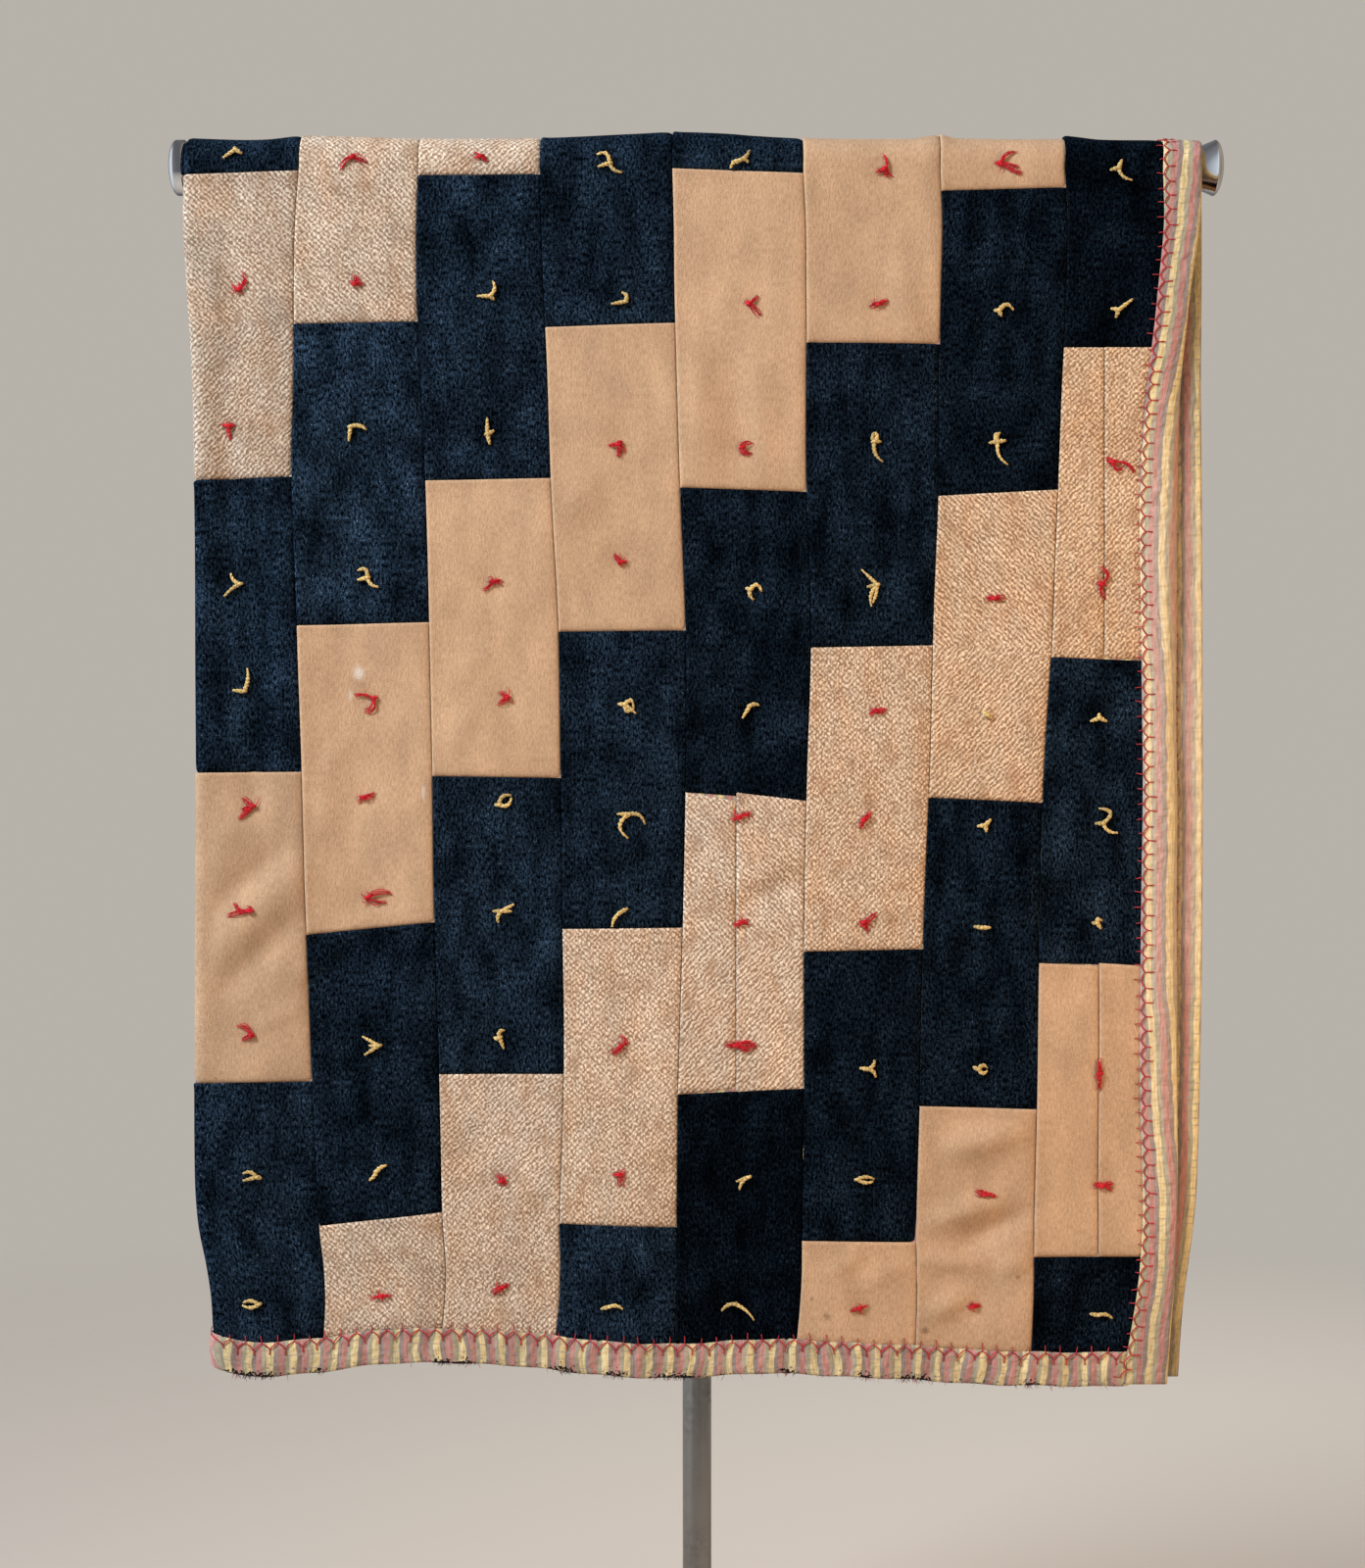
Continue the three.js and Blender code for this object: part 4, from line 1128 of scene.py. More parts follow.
@dataclass(frozen=True)
class StripedCotton:
    """The backing and binding cotton: stripes in a repeat, faint bars across, wear to the dark filling."""

    name: str = "striped_cotton"
    repeat: float = 0.0182
    stripes: tuple[tuple[float, Colour], ...] = (
        (0.00, (0.57, 0.285, 0.258)), (0.27, (0.46, 0.425, 0.315)),
        (0.49, (0.83, 0.69, 0.375)), (0.79, (0.345, 0.285, 0.262)),
    )
    edge: float = 0.03
    wander: float = 0.0055
    wander_scale: float = 42.0
    faded: Colour = (0.84, 0.75, 0.67)
    fading: float = 0.3
    darkening: float = 0.5
    filling: Colour = (0.011, 0.007, 0.009)
    bar_colour: Colour = (0.36, 0.30, 0.26)
    bar_pitch: float = 0.0061
    bar_start: float = 0.55
    bar_strength: float = 0.75
    bars_left_faded: float = 0.25
    patchy: Pair = (0.011, 0.5)
    patchy_window: Pair = (0.25, 0.85)
    slub: Pair = (0.0014, 9.0)
    slub_tones: Pair = (0.76, 1.20)
    fray: Pair = (0.0025, 1.0)
    fray_reach: float = 0.5
    worn_window: Pair = (0.5, 0.62)
    crumple: Pair = (0.0065, 1.0)
    mottling: Pair = (0.018, 0.10)
    weave_pitch: float = 0.0009
    weave_rib: float = 0.3
    weave_share: float = 0.12
    bump_depth: float = 0.0010

    def material(self) -> Material:
        """Make the material."""
        surface = Surface(self.name)
        across, along, _ = surface.split(surface.cloth)
        wander = (surface.noise(surface.cloth, self.wander_scale, 3.0) - 0.5) * self.wander
        place = surface.math("FRACT", (wander + across) / self.repeat)
        colour = surface.ramp(place, self.stops())
        state = surface.attribute(TONE)
        colour = surface.mix(state.fit(0.0, 1.0, 0.0, self.fading), colour, self.faded)
        # Negative tone darkens the cotton: painted shade in the hem's pleat valleys, and darker stretches of
        # the hems and side bindings.
        colour = surface.scale(colour, state.fit(-1.0, 0.0, 1 - self.darkening, 1.0))
        bars = surface.math("SINE", along * (2 * math.pi / self.bar_pitch)).fit(self.bar_start, 1.0)
        bars = bars * surface.nap(*self.patchy).fit(*self.patchy_window, 0.0, self.bar_strength)
        bars = bars * state.fit(0.0, 0.5, 1.0, self.bars_left_faded)
        tone = surface.mottle(*self.mottling) * surface.nap(*self.slub).fit(0.0, 1.0, *self.slub_tones)
        colour = surface.scale(surface.mix(bars, colour, self.bar_colour), tone)
        frayed = surface.nap(*self.fray).fit(0.0, 1.0, -self.fray_reach, self.fray_reach)
        # The worn mask shows the dark filling; all along the hems' lower edges it is partly painted shade.
        worn = (surface.attribute(WEAR) + frayed).fit(*self.worn_window)
        colour = surface.mix(worn, colour, self.filling)
        weave = surface.shared(
            weave_group(), Cloth=surface.cloth, Pitch=self.weave_pitch, Lean=0.0, Rib=self.weave_rib
        )
        height = weave * self.weave_share + surface.nap(*self.crumple)
        return surface.dress(
            colour, height, self.bump_depth, Roughness=0.88, Specular_IOR_Level=0.15,
            Sheen_Weight=0.04, Sheen_Roughness=0.5,
        )

    def stops(self) -> list[tuple[float, Colour]]:
        """List the stripes' places and colours in a repeat, soft at their edges."""
        ends = (*(start for start, _ in self.stripes[1:]), 1.0)
        return [
            (place, colour)
            for (start, colour), end in zip(self.stripes, ends)
            for place in (start + self.edge, end - self.edge / 3)
        ]


FINE_FUZZ = (0.0008, 1.0)


@dataclass(frozen=True)
class Yarn:
    """A yarn or thread, darker between its twisted plies."""

    name: str
    dark: Colour
    light: Colour
    twist: float
    fuzz_share: float = 0.4
    tone_share: float = 0.22
    bump_depth: float = 0.0003

    def material(self) -> Material:
        """Make the material."""
        surface = Surface(self.name)
        along, around, _ = surface.split(surface.cloth)
        turns = (along / self.twist + around * (1.0 / MM)) * (2 * math.pi)
        plies = surface.math("SINE", turns).fit(-1.0, 1.0)
        grain = surface.nap(*FINE_FUZZ) * self.fuzz_share + plies * (1 - self.fuzz_share)
        tone = surface.attribute(TONE) * self.tone_share + 1.0
        return surface.dress(
            surface.scale(surface.mix(grain, self.dark, self.light), tone), grain, self.bump_depth,
            Roughness=0.85, Specular_IOR_Level=0.25, Sheen_Weight=0.15, Sheen_Roughness=0.4,
        )


@dataclass(frozen=True)
class FrayedThreads:
    """Loose threads of the worn hem, from the dark filling to pale and red cotton by their tone."""

    name: str = "frayed_threads"
    dark: Colour = (0.008, 0.008, 0.013)
    red: Colour = (0.36, 0.05, 0.05)
    pale: Colour = (0.60, 0.48, 0.34)
    red_tones: Pair = (-0.4, -0.2)
    pale_tones: Pair = (0.3, 0.5)
    fuzz_tones: Pair = (0.75, 1.15)
    bump_depth: float = 0.0002

    def material(self) -> Material:
        """Make the material."""
        surface = Surface(self.name)
        tone = surface.attribute(TONE)
        fuzz = surface.nap(*FINE_FUZZ)
        colour = surface.mix(tone.fit(*self.red_tones), self.dark, self.red)
        colour = surface.mix(tone.fit(*self.pale_tones), colour, self.pale)
        colour = surface.scale(colour, fuzz.fit(0.0, 1.0, *self.fuzz_tones))
        return surface.dress(colour, fuzz, self.bump_depth, Roughness=0.9)


@dataclass(frozen=True)
class StandChrome:
    """Polished chrome plate with faint rubbing marks."""

    name: str = "stand_chrome"
    bright: Colour = (0.74, 0.75, 0.76)
    dull: Colour = (0.62, 0.63, 0.64)
    rubbing: Pair = (0.004, 6.0)
    clouds: Pair = (0.05, 1.0)
    cloud_window: Pair = (0.6, 1.7)
    roughness: Pair = (0.05, 0.2)
    bump_depth: float = 0.000004

    def material(self) -> Material:
        """Make the material."""
        surface = Surface(self.name)
        rubbed = surface.nap(*self.rubbing, surface.spot)
        dulled = surface.mottle(*self.clouds, surface.spot).fit(*self.cloud_window) * rubbed
        colour = surface.mix(dulled, self.bright, self.dull)
        roughness = dulled.fit(0.0, 1.0, *self.roughness)
        return surface.dress(colour, rubbed, self.bump_depth, Metallic=1.0, Roughness=roughness)


class Fabric(Enum):
    """The cloths of the pieced top, by their finishes' slots."""

    NAVY = "navy_wool"
    TWEED = "oatmeal_tweed"
    PEACH = "peach_flannel"


FABRIC_CYCLE = (Fabric.NAVY, Fabric.TWEED, Fabric.NAVY, Fabric.PEACH)

PEACH_STAINS = (
    Stain(-293, 437, 6.5, 8.0, 0.75), Stain(-300, 456, 3.0, 7.0, 0.5), Stain(-237, 540, 2.5, 9.0, 0.5),
    Stain(112, 993, 5.0, 4.0, -0.45), Stain(99, 978, 2.5, 2.5, -0.5), Stain(197, 1006, 5.0, 4.5, -0.55),
    Stain(277, 959, 3.0, 3.0, -0.4),
)
NAVY_WOOL = NapCloth(
    name=Fabric.NAVY.value,
    dark=(0.0004, 0.0011, 0.0028),
    light=(0.0290, 0.0570, 0.0990),
    lint=(0.16, 0.22, 0.27),
    lint_share=0.8,
    nap=(0.0019, 2.0),
    fuzz_share=0.42,
    mottling=(0.040, 0.62),
    bump_depth=0.0006,
    sheen=0.006,
    sheen_tint=(0.40, 0.62, 0.90),
    specular=0.0,
    contrast=(0.34, 0.90),
)
PEACH_FLANNEL = NapCloth(
    name=Fabric.PEACH.value,
    dark=(0.455, 0.287, 0.170),
    light=(0.680, 0.464, 0.300),
    lint=(0.74, 0.56, 0.41),
    lint_share=0.3,
    nap=(0.0017, 2.8),
    fuzz_share=0.52,
    mottling=(0.05, 0.10),
    bump_depth=0.00045,
    sheen=0.05,
    sheen_tint=(1.0, 0.85, 0.72),
    specular=0.08,
    contrast=(0.17, 0.83),
    stains=PEACH_STAINS,
)
PATCH_FINISHES = {Fabric.NAVY: NAVY_WOOL, Fabric.TWEED: OatmealTweed(), Fabric.PEACH: PEACH_FLANNEL}
RED_YARN = Yarn("red_yarn", (0.40, 0.006, 0.014), (0.74, 0.030, 0.045), 0.0035)
GOLD_YARN = Yarn("gold_yarn", (0.50, 0.31, 0.075), (0.79, 0.645, 0.32), 0.0045)
STITCH_THREAD = Yarn("stitch_thread", (0.36, 0.022, 0.032), (0.60, 0.062, 0.076), 0.0020)


class Join(NamedTuple):
    """The line between two bricks of a column, or a hem."""

    run: float
    tilt: float = 0.0
    on_hem: bool = False

    def line(self, drape: Drape, span: Array, share: Array, tuck: float) -> Array:
        """Give the runs of the line at spans of its column.

        Args:
            drape: The hanging quilt.
            span: Spans along the line.
            share: Share of the column's width from its lower span.
            tuck: How far up from a hem's edge the line lies.

        Returns:
            Runs.
        """
        if not self.on_hem:
            return self.run + self.tilt * (0.5 - share)
        on_back = self.run < 0
        return drape.hem_run(span, on_back) + (tuck if on_back else -tuck)


@dataclass
class Patchwork:
    """The pieced top: bricks of three cloths in columns, each a sheet of its own, sunk at its seams.

    The columns are 0 to 7 on the outer layer, and -1 to -8 on the inner one.
    """

    drape: Drape
    fine_step: float = 5.5
    fold_step: float = 3.0
    back_step: float = 9.0
    inner_step: float = 18.0
    edge_lines: tuple[float, ...] = (0.0, 0.45, 1.0, 1.8, 3.2, 5.5)
    face: float = 2.5
    seam_depth: float = 2.2
    raised_reach: float = 1.0
    sunk_reach: float = 2.2
    allowance_rise: float = 1.0
    allowance_width: float = 3.8
    hem_tuck: float = 26.0
    binding_tuck: float = 3.0
    join_jitter: float = 4.0
    inner_bricks: int = 4
    pattern_reach: float = 5000.0
    tone_spread: float = 0.04
    # Painted shade: the navy grows darker towards the right columns, standing in for the light falling off
    # there. The tweed's trend by column is partly its own tone and warmth, and partly painted light that
    # evens out that falloff.
    navy_painted_falloff: tuple[float, float, float] = (-0.10, -0.13, -0.24)
    tweed_tone_and_painted_falloff: tuple[float, float, float] = (-0.17, 0.06, 0.18)
    usual_lean: Pair = (0.5, -0.5)
    seed: int = 7
    seams: list[Curve] = field(init=False)
    parts: dict[Fabric, MeshParts] = field(init=False)
    random: np.random.Generator = field(init=False)

    def __post_init__(self) -> None:
        """Work out the front's seams as spans along the run."""
        runs = np.array(SEAM_HEIGHTS) + RUN_START
        spans = [self.drape.span_at(np.array(line), runs) for line in SEAM_LINES]
        self.seams = [curve_through([*zip(runs, row)]) for row in spans]
        self.parts = {fabric: MeshParts() for fabric in Fabric}
        self.random = np.random.default_rng(self.seed)

    def seam(self, number: int, run: Array) -> Array:
        """Give a seam's spans: 1 to 8 on the outer layer, the last under the binding, 0 to -8 on the inner.

        Args:
            number: The seam.
            run: Runs along it.

        Returns:
            Spans.
        """
        if number > 0:
            return self.seams[number - 1](run) - (self.binding_tuck if number == COLUMNS else 0.0)
        column_width = (LAYER_WIDTH * INNER_BINDING_SHARE - INNER_FIRST_SEAM + self.binding_tuck) / COLUMNS
        return np.full(np.shape(run), FOLD_WIDTH + INNER_FIRST_SEAM - number * column_width)

    def joins(self, column: int) -> tuple[list[Join], int]:
        """List a column's joins from the back hem to the front hem.

        Args:
            column: The column.

        Returns:
            The joins, and the number of the first brick between them.
        """
        if column >= 0:
            front = [Join(mark + RUN_START, tilt) for mark, tilt in FRONT_JOINS[column]]
        else:
            shift = (column % 2) / 2
            front = [Join(RUN_START + BRICK_LENGTH * (row + shift)) for row in range(self.inner_bricks)]
        back_end = -ARC_LENGTH - TYPICAL_DROP + HEM_WIDTH
        back = []
        run = front[0].run - BRICK_LENGTH
        while run > back_end + HEM_WIDTH:
            back.insert(0, Join(run + self.random.uniform(-self.join_jitter, self.join_jitter)))
            run -= BRICK_LENGTH
        front = [join for join in front if join.run < TYPICAL_DROP - 2 * HEM_WIDTH]
        return [Join(back_end, on_hem=True), *back, *front, Join(TYPICAL_DROP, on_hem=True)], -len(back)

    @staticmethod
    def fabric(column: int, brick: int) -> Fabric:
        """Give the cloth of a brick: the columns step through the cycle in pairs."""
        return FABRIC_CYCLE[(brick + (column + 1) // 2) % len(FABRIC_CYCLE)]

    def fabric_at(self, column: int, run: float) -> Fabric:
        """Give the cloth at a place along an outer column, brick by brick."""
        first = FRONT_JOINS[column][0][0] + RUN_START
        return self.fabric(column, math.floor((run - first) / BRICK_LENGTH) + 1)

    def shade(self, column: int, brick: int) -> float:
        """Give how much lighter or darker than its cloth a patch is, partly as painted shade by column and
        brick.

        Args:
            column: Its column.
            brick: Its place in the column.

        Returns:
            A share of the cloth's lightness.
        """
        random = self.random.uniform(-self.tone_spread, self.tone_spread)
        trends = {Fabric.NAVY: self.navy_painted_falloff, Fabric.TWEED: self.tweed_tone_and_painted_falloff, Fabric.PEACH: (0, 0, 0)}
        shade = random + np.interp(column, (0, 2, COLUMNS - 1), trends[self.fabric(column, brick)])
        return BRICK_SHARES.get((column, brick), 1.0) * (1 + shade) - 1

    def lines(self, length: float, step: float) -> Array:
        """Space lines over a patch, close together along its seams.

        Args:
            length: The patch's size that way.
            step: Distance between lines in its middle.

        Returns:
            Shares of the length, rising from 0 to 1.
        """
        near = np.array(self.edge_lines) / length
        between = np.linspace(near[-1], 1 - near[-1], max(int(length / step), 2))
        return np.concatenate([near, between[1:-1], 1 - near[::-1]])

    def lie(self, raised: Sequence[Array], sunk: Sequence[Array]) -> Array:
        """Give how high a patch lies: folded over at its raised seams, sloping down into its sunk ones.

        Args:
            raised: Distances from the seams whose allowance lies under this patch.
            sunk: Distances from its other seams.

        Returns:
            Distance off the cloth's middle.
        """
        total = np.zeros(np.broadcast(*raised, *sunk).shape) + self.face
        for away in raised:
            total = total - self.seam_depth * np.exp(-away / self.raised_reach)
            total = total + self.allowance_rise * np.exp(-((away / self.allowance_width) ** 2))
        for away in sunk:
            total = total - self.seam_depth * np.exp(-away / self.sunk_reach)
        return np.maximum(total, self.face - self.seam_depth)

    def add_patch(self, column: int, brick: int, top: Join, bottom: Join, low: Curve, high: Curve) -> None:
        """Add one patch, or one strip of a pieced brick.

        Args:
            column: Its column.
            brick: Its place in the column.
            top: The join nearer the back hem.
            bottom: The join nearer the front hem.
            low: The seam at its lower span.
            high: The seam at its higher span.
        """
        middle = np.array((top.run + bottom.run) / 2)
        width = float(high(middle) - low(middle))
        on_front = bottom.run > -ARC_LENGTH
        step = self.inner_step if column < 0 else self.fine_step if on_front else self.back_step
        across = self.lines(width, self.fold_step if column == 0 else step)
        along = self.lines(bottom.run - top.run, step)[:, None]
        span = low(np.full(across.shape, middle)) + width * across
        top_line, bottom_line = (join.line(self.drape, span, across, self.hem_tuck) for join in (top, bottom))
        run = top_line + (bottom_line - top_line) * along
        low_span, high_span = low(run), high(run)
        span = low_span + (high_span - low_span) * across
        out = self.lie((high_span - span, run - top_line), (span - low_span, bottom_line - run))
        points, _ = self.drape.surface(span, run, out)
        cloth = np.stack([span, run], axis=-1) + self.random.uniform(0, self.pattern_reach, 2)
        upper, lower = TWEED_LEANS.get((column, brick), self.usual_lean)
        # Spans count from right to left, so a line that falls to the right rises with the span
        lean = np.broadcast_to(np.where(along < 0.5, -upper, -lower), run.shape)
        self.parts[self.fabric(column, brick)].add_grid(points, cloth, self.shade(column, brick), lean)

    def build(self) -> list[Piece]:
        """Build the patches, one piece for each cloth."""
        for column in range(-COLUMNS, COLUMNS):
            low_seam, high_seam = (partial(self.seam, number) for number in (column + 1, column))
            joins, first = self.joins(column)
            for brick, (top, bottom) in enumerate(zip(joins, joins[1:]), first):
                x = PIECED_BRICKS.get((column, brick))
                pieced = [] if x is None else [partial(self.drape.span_at, x)]
                lines = [low_seam, *pieced, high_seam]
                for low, high in zip(lines, lines[1:]):
                    self.add_patch(column, brick, top, bottom, low, high)
        return [
            parts.build("patches_" + fabric.name.lower(), PATCH_FINISHES[fabric].material(), fabric.value)
            for fabric, parts in self.parts.items()
        ]


@dataclass
class QuiltBody:
    """The striped backing and what lies under the patches: one thin closed sheet."""

    drape: Drape
    step: float = 16.0
    fold_step: float = 2.5
    arc_step: float = 5.0
    backing: float = -2.0
    face: float = 0.2

    def build(self, cotton: Material) -> Piece:
        """Build the sheet, both faces and the rims, in place of the quilt's solid.

        Args:
            cotton: The striped cotton.

        Returns:
            The piece.
        """
        outer = np.arange(-LAYER_WIDTH, 0, self.step)
        fold = np.arange(0, FOLD_WIDTH, self.fold_step)
        inner = np.linspace(FOLD_WIDTH, FOLD_WIDTH + LAYER_WIDTH, len(outer))
        span = np.concatenate([outer, fold, inner])
        hanging = np.linspace(0, 1, int(TYPICAL_DROP / self.step))[:, None]
        arc = np.arange(self.arc_step, ARC_LENGTH, self.arc_step)[:, None] * np.ones_like(span)
        front = self.drape.hem_run(span, False) * hanging
        back = -ARC_LENGTH + (self.drape.hem_run(span, True) + ARC_LENGTH) * hanging
        run = np.concatenate([front[::-1], -arc, back])[::-1]
        span = np.broadcast_to(span, run.shape)
        face, backing = (self.drape.surface(span, run, out)[0] for out in (self.face, self.backing))
        cloth = np.stack([-(span + LAYER_WIDTH), run], axis=-1)
        points = np.concatenate([face, backing[:, ::-1]], axis=1)
        parts = MeshParts()
        parts.add_grid(points, np.concatenate([cloth, cloth[:, ::-1]], axis=1), ring=True)
        return parts.build("quilt_body", cotton, "striped_cotton", "quilt")


class Wave(NamedTuple):
    """A wave along a hem: its size, its length for each radian, its phase, and the phase's slow drift."""

    size: float
    length: float
    phase: float = 0.0
    drift: float = 0.0
    drift_length: float = 1.0

    def at(self, span: Array) -> Array:
        """Give its height at spans along the hem."""
        drift = self.drift * np.sin(span / self.drift_length)
        return self.size * np.sin(span / self.length + self.phase + drift)


@dataclass
class Binding:
    """The backing turned to the front as a binding, along both bound sides and both hems."""

    drape: Drape
    patchwork: Patchwork
    cotton: Material
    top: float = 3.5
    bottom: float = -2.5
    thickness: float = 0.7
    face_bulge: float = 0.3
    sewn_dip: float = 1.1
    backing_dip: float = 0.35
    turn_steps: int = 8
    face_steps: int = 9
    backing_reach: float = 26.0
    fine_step: float = 2.6
    coarse_step: float = 10.0
    fold_step: float = 2.0
    fold_reach: Pair = (-20.0, FOLD_WIDTH + 10.0)
    wear_reach: float = 7.5
    # Darkness all along a hem's lower edge: partly wear, partly painted shade of its rolled underside.
    edge_wear_and_shade: float = 0.40
    back_wear: float = 0.35
    inner_stripe_start: float = -2.0
    hem_gather: float = 0.9463
    hem_stripe_start: float = -7.7
    hem_tone: float = -0.30
    hem_puff: float = 0.9
    end_tuck: float = 1.8
    end_tuck_reach: float = 6.0
    end_overlap: float = 1.0
    pleat_height: float = 1.4
    pleat_shade: float = 0.28
    puff_depth: float = 1.5
    puff_power: float = 0.7
    puff_shift: Wave = Wave(0.12, 41.0)
    slow_gather: Wave = Wave(0.35, 4.1, 0.0, 1.3, 67.0)
    gather_swing: Wave = Wave(0.25, 31.0)
    lip_waves: tuple[Wave, ...] = (Wave(0.5, 9.0), Wave(0.4, 23.0))
    lean_waves: tuple[Wave, ...] = (Wave(2.4, 47.0, 0.8), Wave(1.5, 19.0, 0.0, 2.0, 83.0))
    bend_waves: tuple[Wave, ...] = (Wave(1.6, 26.0, 1.7), Wave(1.0, 11.0))
    blotches: Wave = Wave(0.24, 17.0, 0.0, 2.0, 61.0)
    blotch_slant: float = 2.5
    blotch_length: float = 40.0

    def contour(self, width: Array) -> tuple[Array, Array, Array]:
        """Give the binding's section: over the face, round the edge and onto the backing, and back inside.

        Args:
            width: The binding's width on the face at each place along it.

        Returns:
            Distance in from the edge, height off the cloth's middle, and length round the section from the
            edge, each with places in rows and the section's points in columns.
        """
        radius, centre = (self.top - self.bottom) / 2, (self.top + self.bottom) / 2
        share = np.linspace(1, 0, self.face_steps)
        face_in = radius + (width[:, None] - radius) * share
        face_up = self.top + self.face_bulge * np.sin(np.pi * share) - self.sewn_dip * (share == 1)
        turn = np.linspace(np.pi / 2, -np.pi / 2, self.turn_steps)[1:-1]
        edge_in = radius * (1 - np.cos(turn)) + 0 * width[:, None]
        edge_up = centre + radius * np.sin(turn)
        back_in = np.array([radius, self.backing_reach / 2, self.backing_reach]) + 0 * width[:, None]
        back_up = np.array([self.bottom, self.bottom, self.bottom + self.backing_dip])
        distance = np.concatenate([face_in, edge_in, back_in], axis=1)
        height = np.concatenate([face_up, edge_up, back_up]) + 0 * distance
        towards = np.sign(height - centre) * np.minimum(self.thickness, np.abs(height - centre))
        inside_in = distance + self.thickness * (distance < radius)
        steps = np.hypot(np.diff(distance, axis=1), np.diff(height, axis=1))
        round_way = np.concatenate([np.zeros((len(width), 1)), np.cumsum(steps, axis=1)], axis=1)
        edge = self.face_steps + self.turn_steps // 2 - 1
        length = round_way[:, edge : edge + 1] - round_way
        pairs = ((distance, inside_in), (height, height - towards), (length, length))
        return tuple(np.concatenate([outside, inside[:, ::-1]], axis=1) for outside, inside in pairs)

    def piece(self, name: str, grids: Sequence[Array], flip: bool) -> Piece:
        """Build a binding in place of the solid of that name.

        Args:
            name: The solid's name.
            grids: Its points, cloth measures, tones and wear.
            flip: Whether its section runs the other way round.

        Returns:
            The piece.
        """
        parts = MeshParts()
        parts.add_grid(*(grid[:, :: -1 if flip else 1] for grid in grids), ring=True)
        return parts.build(name + "_cloth", self.cotton, "striped_cotton", name)

    def side(self, on_inner: bool) -> Piece:
        """Build the binding of one bound side.

        Args:
            on_inner: Whether it is the inner layer's.

        Returns:
            The piece.
        """
        edge = LAYER_WIDTH + EDGE_LIP
        reach = FOLD_WIDTH + edge if on_inner else -edge
        start, end = (float(self.drape.hem_run(np.array(reach), back)) for back in (True, False))
        steps = int((end - start) / (self.coarse_step if on_inner else self.fine_step))
        run = np.linspace(start - EDGE_LIP, end + EDGE_LIP, steps)
        if on_inner:
            width = np.full(run.shape, LAYER_WIDTH * (1 - INNER_BINDING_SHARE))
            stripes = self.inner_stripe_start
        else:
            width = edge + self.patchwork.seams[-1](run)
            stripes = curve_through(STRIPE_STARTS)(run)[:, None]
        distance, height, length = self.contour(width)
        points, _ = self.drape.surface(reach + distance * (-1 if on_inner else 1), run[:, None], height)
        cloth = np.stack(np.broadcast_arrays(length + stripes, run[:, None]), axis=-1)
        tone = curve_through(INNER_SIDE_FADING if on_inner else OUTER_SIDE_FADING)(run)[:, None]
        grids = (points, cloth, np.broadcast_to(tone, length.shape), np.zeros(length.shape))
        return self.piece("binding_inner_side" if on_inner else "binding_outer_side", grids, not on_inner)

    def hem(self, on_back: bool) -> Piece:
        """Build the binding of one hem, from side to side round the fold.

        Args:
            on_back: Whether it is the back hem.

        Returns:
            The piece.
        """
        start = float(self.patchwork.seams[-1](np.array(TYPICAL_DROP - HEM_WIDTH))) - self.end_overlap
        outer = np.arange(start, self.fold_reach[0], self.coarse_step if on_back else self.fine_step)
        fold = np.arange(*self.fold_reach, self.fold_step)
        inner = np.arange(self.fold_reach[1], INNER_BINDING_SPAN, self.coarse_step)
        span = np.concatenate([outer, fold, inner])
        edge = self.drape.hem_run(span, on_back)[:, None]
        distance, height, length = self.contour(np.full(span.shape, HEM_WIDTH))
        span = span[:, None]
        lip = np.where(span < 0, sum((wave.at(span) for wave in self.lip_waves), start=EDGE_LIP), EDGE_LIP)
        up = np.clip(length / HEM_WIDTH, 0, 1)
        pleats = self.pleats(span)
        swell = self.pleat_height * pleats * up**0.5 + self.hem_puff * np.sin(np.pi * up)
        swell = swell - self.end_tuck * np.exp(-(((span - start) / self.end_tuck_reach) ** 2))
        run = edge + (-1 if on_back else 1) * (lip - distance)
        points, _ = self.drape.surface(span, run, height + swell * (height > 0))
        wear = self.wear(points[..., 0], length) * (span < 0) * (self.back_wear if on_back else 1)
        stripe = self.hem_stripe_start - (span + LAYER_WIDTH) * self.hem_gather + self.sway(span, up)
        cloth = np.stack([stripe, length], axis=-1)
        blotches = self.blotches.at(span) * np.sin(self.blotch_slant * up + span / self.blotch_length)
        # The hem is darkened overall and in blotches, and its pleats' valleys are painted darker as shade.
        tone = self.hem_tone + self.pleat_shade * pleats + blotches
        name = "binding_back_hem" if on_back else "binding_front_hem"
        return self.piece(name, (points, cloth, tone, wear), on_back)

    def pleats(self, span: Array) -> Array:
        """Give the small uneven gathers along a hem.

        Args:
            span: Spans along it.

        Returns:
            Shares of their height.
        """
        place = (span - float(self.patchwork.seams[-1](np.array(TYPICAL_DROP)))) / HEM_STITCH
        puffs = np.abs(np.cos(np.pi * place + self.puff_shift.at(span))) ** self.puff_power
        gathers = self.puff_depth * puffs - 1.0 + self.slow_gather.at(span)
        return gathers * (1 - self.gather_swing.size + self.gather_swing.at(span))

    def sway(self, span: Array, up: Array) -> Array:
        """Give how far a hem's stripes lean and bend aside, at spans and shares of its width."""
        lean, bend = (sum(wave.at(span) for wave in waves) for waves in (self.lean_waves, self.bend_waves))
        return lean * (up - 0.5) + bend * np.sin(np.pi * up)

    def wear(self, x: Array, length: Array) -> Array:
        """Give how worn a hem is: most at the worn spots, thinly all along its lower edge as wear and painted
        shade of the rolled underside, and only round that edge.
        """
        spots = sum(np.exp(-(((x - place) / half) ** 2)) for place, half in WORN_SPOTS)
        return np.clip(self.edge_wear_and_shade + spots, 0, 1) * np.exp(-((length / self.wear_reach) ** 2))


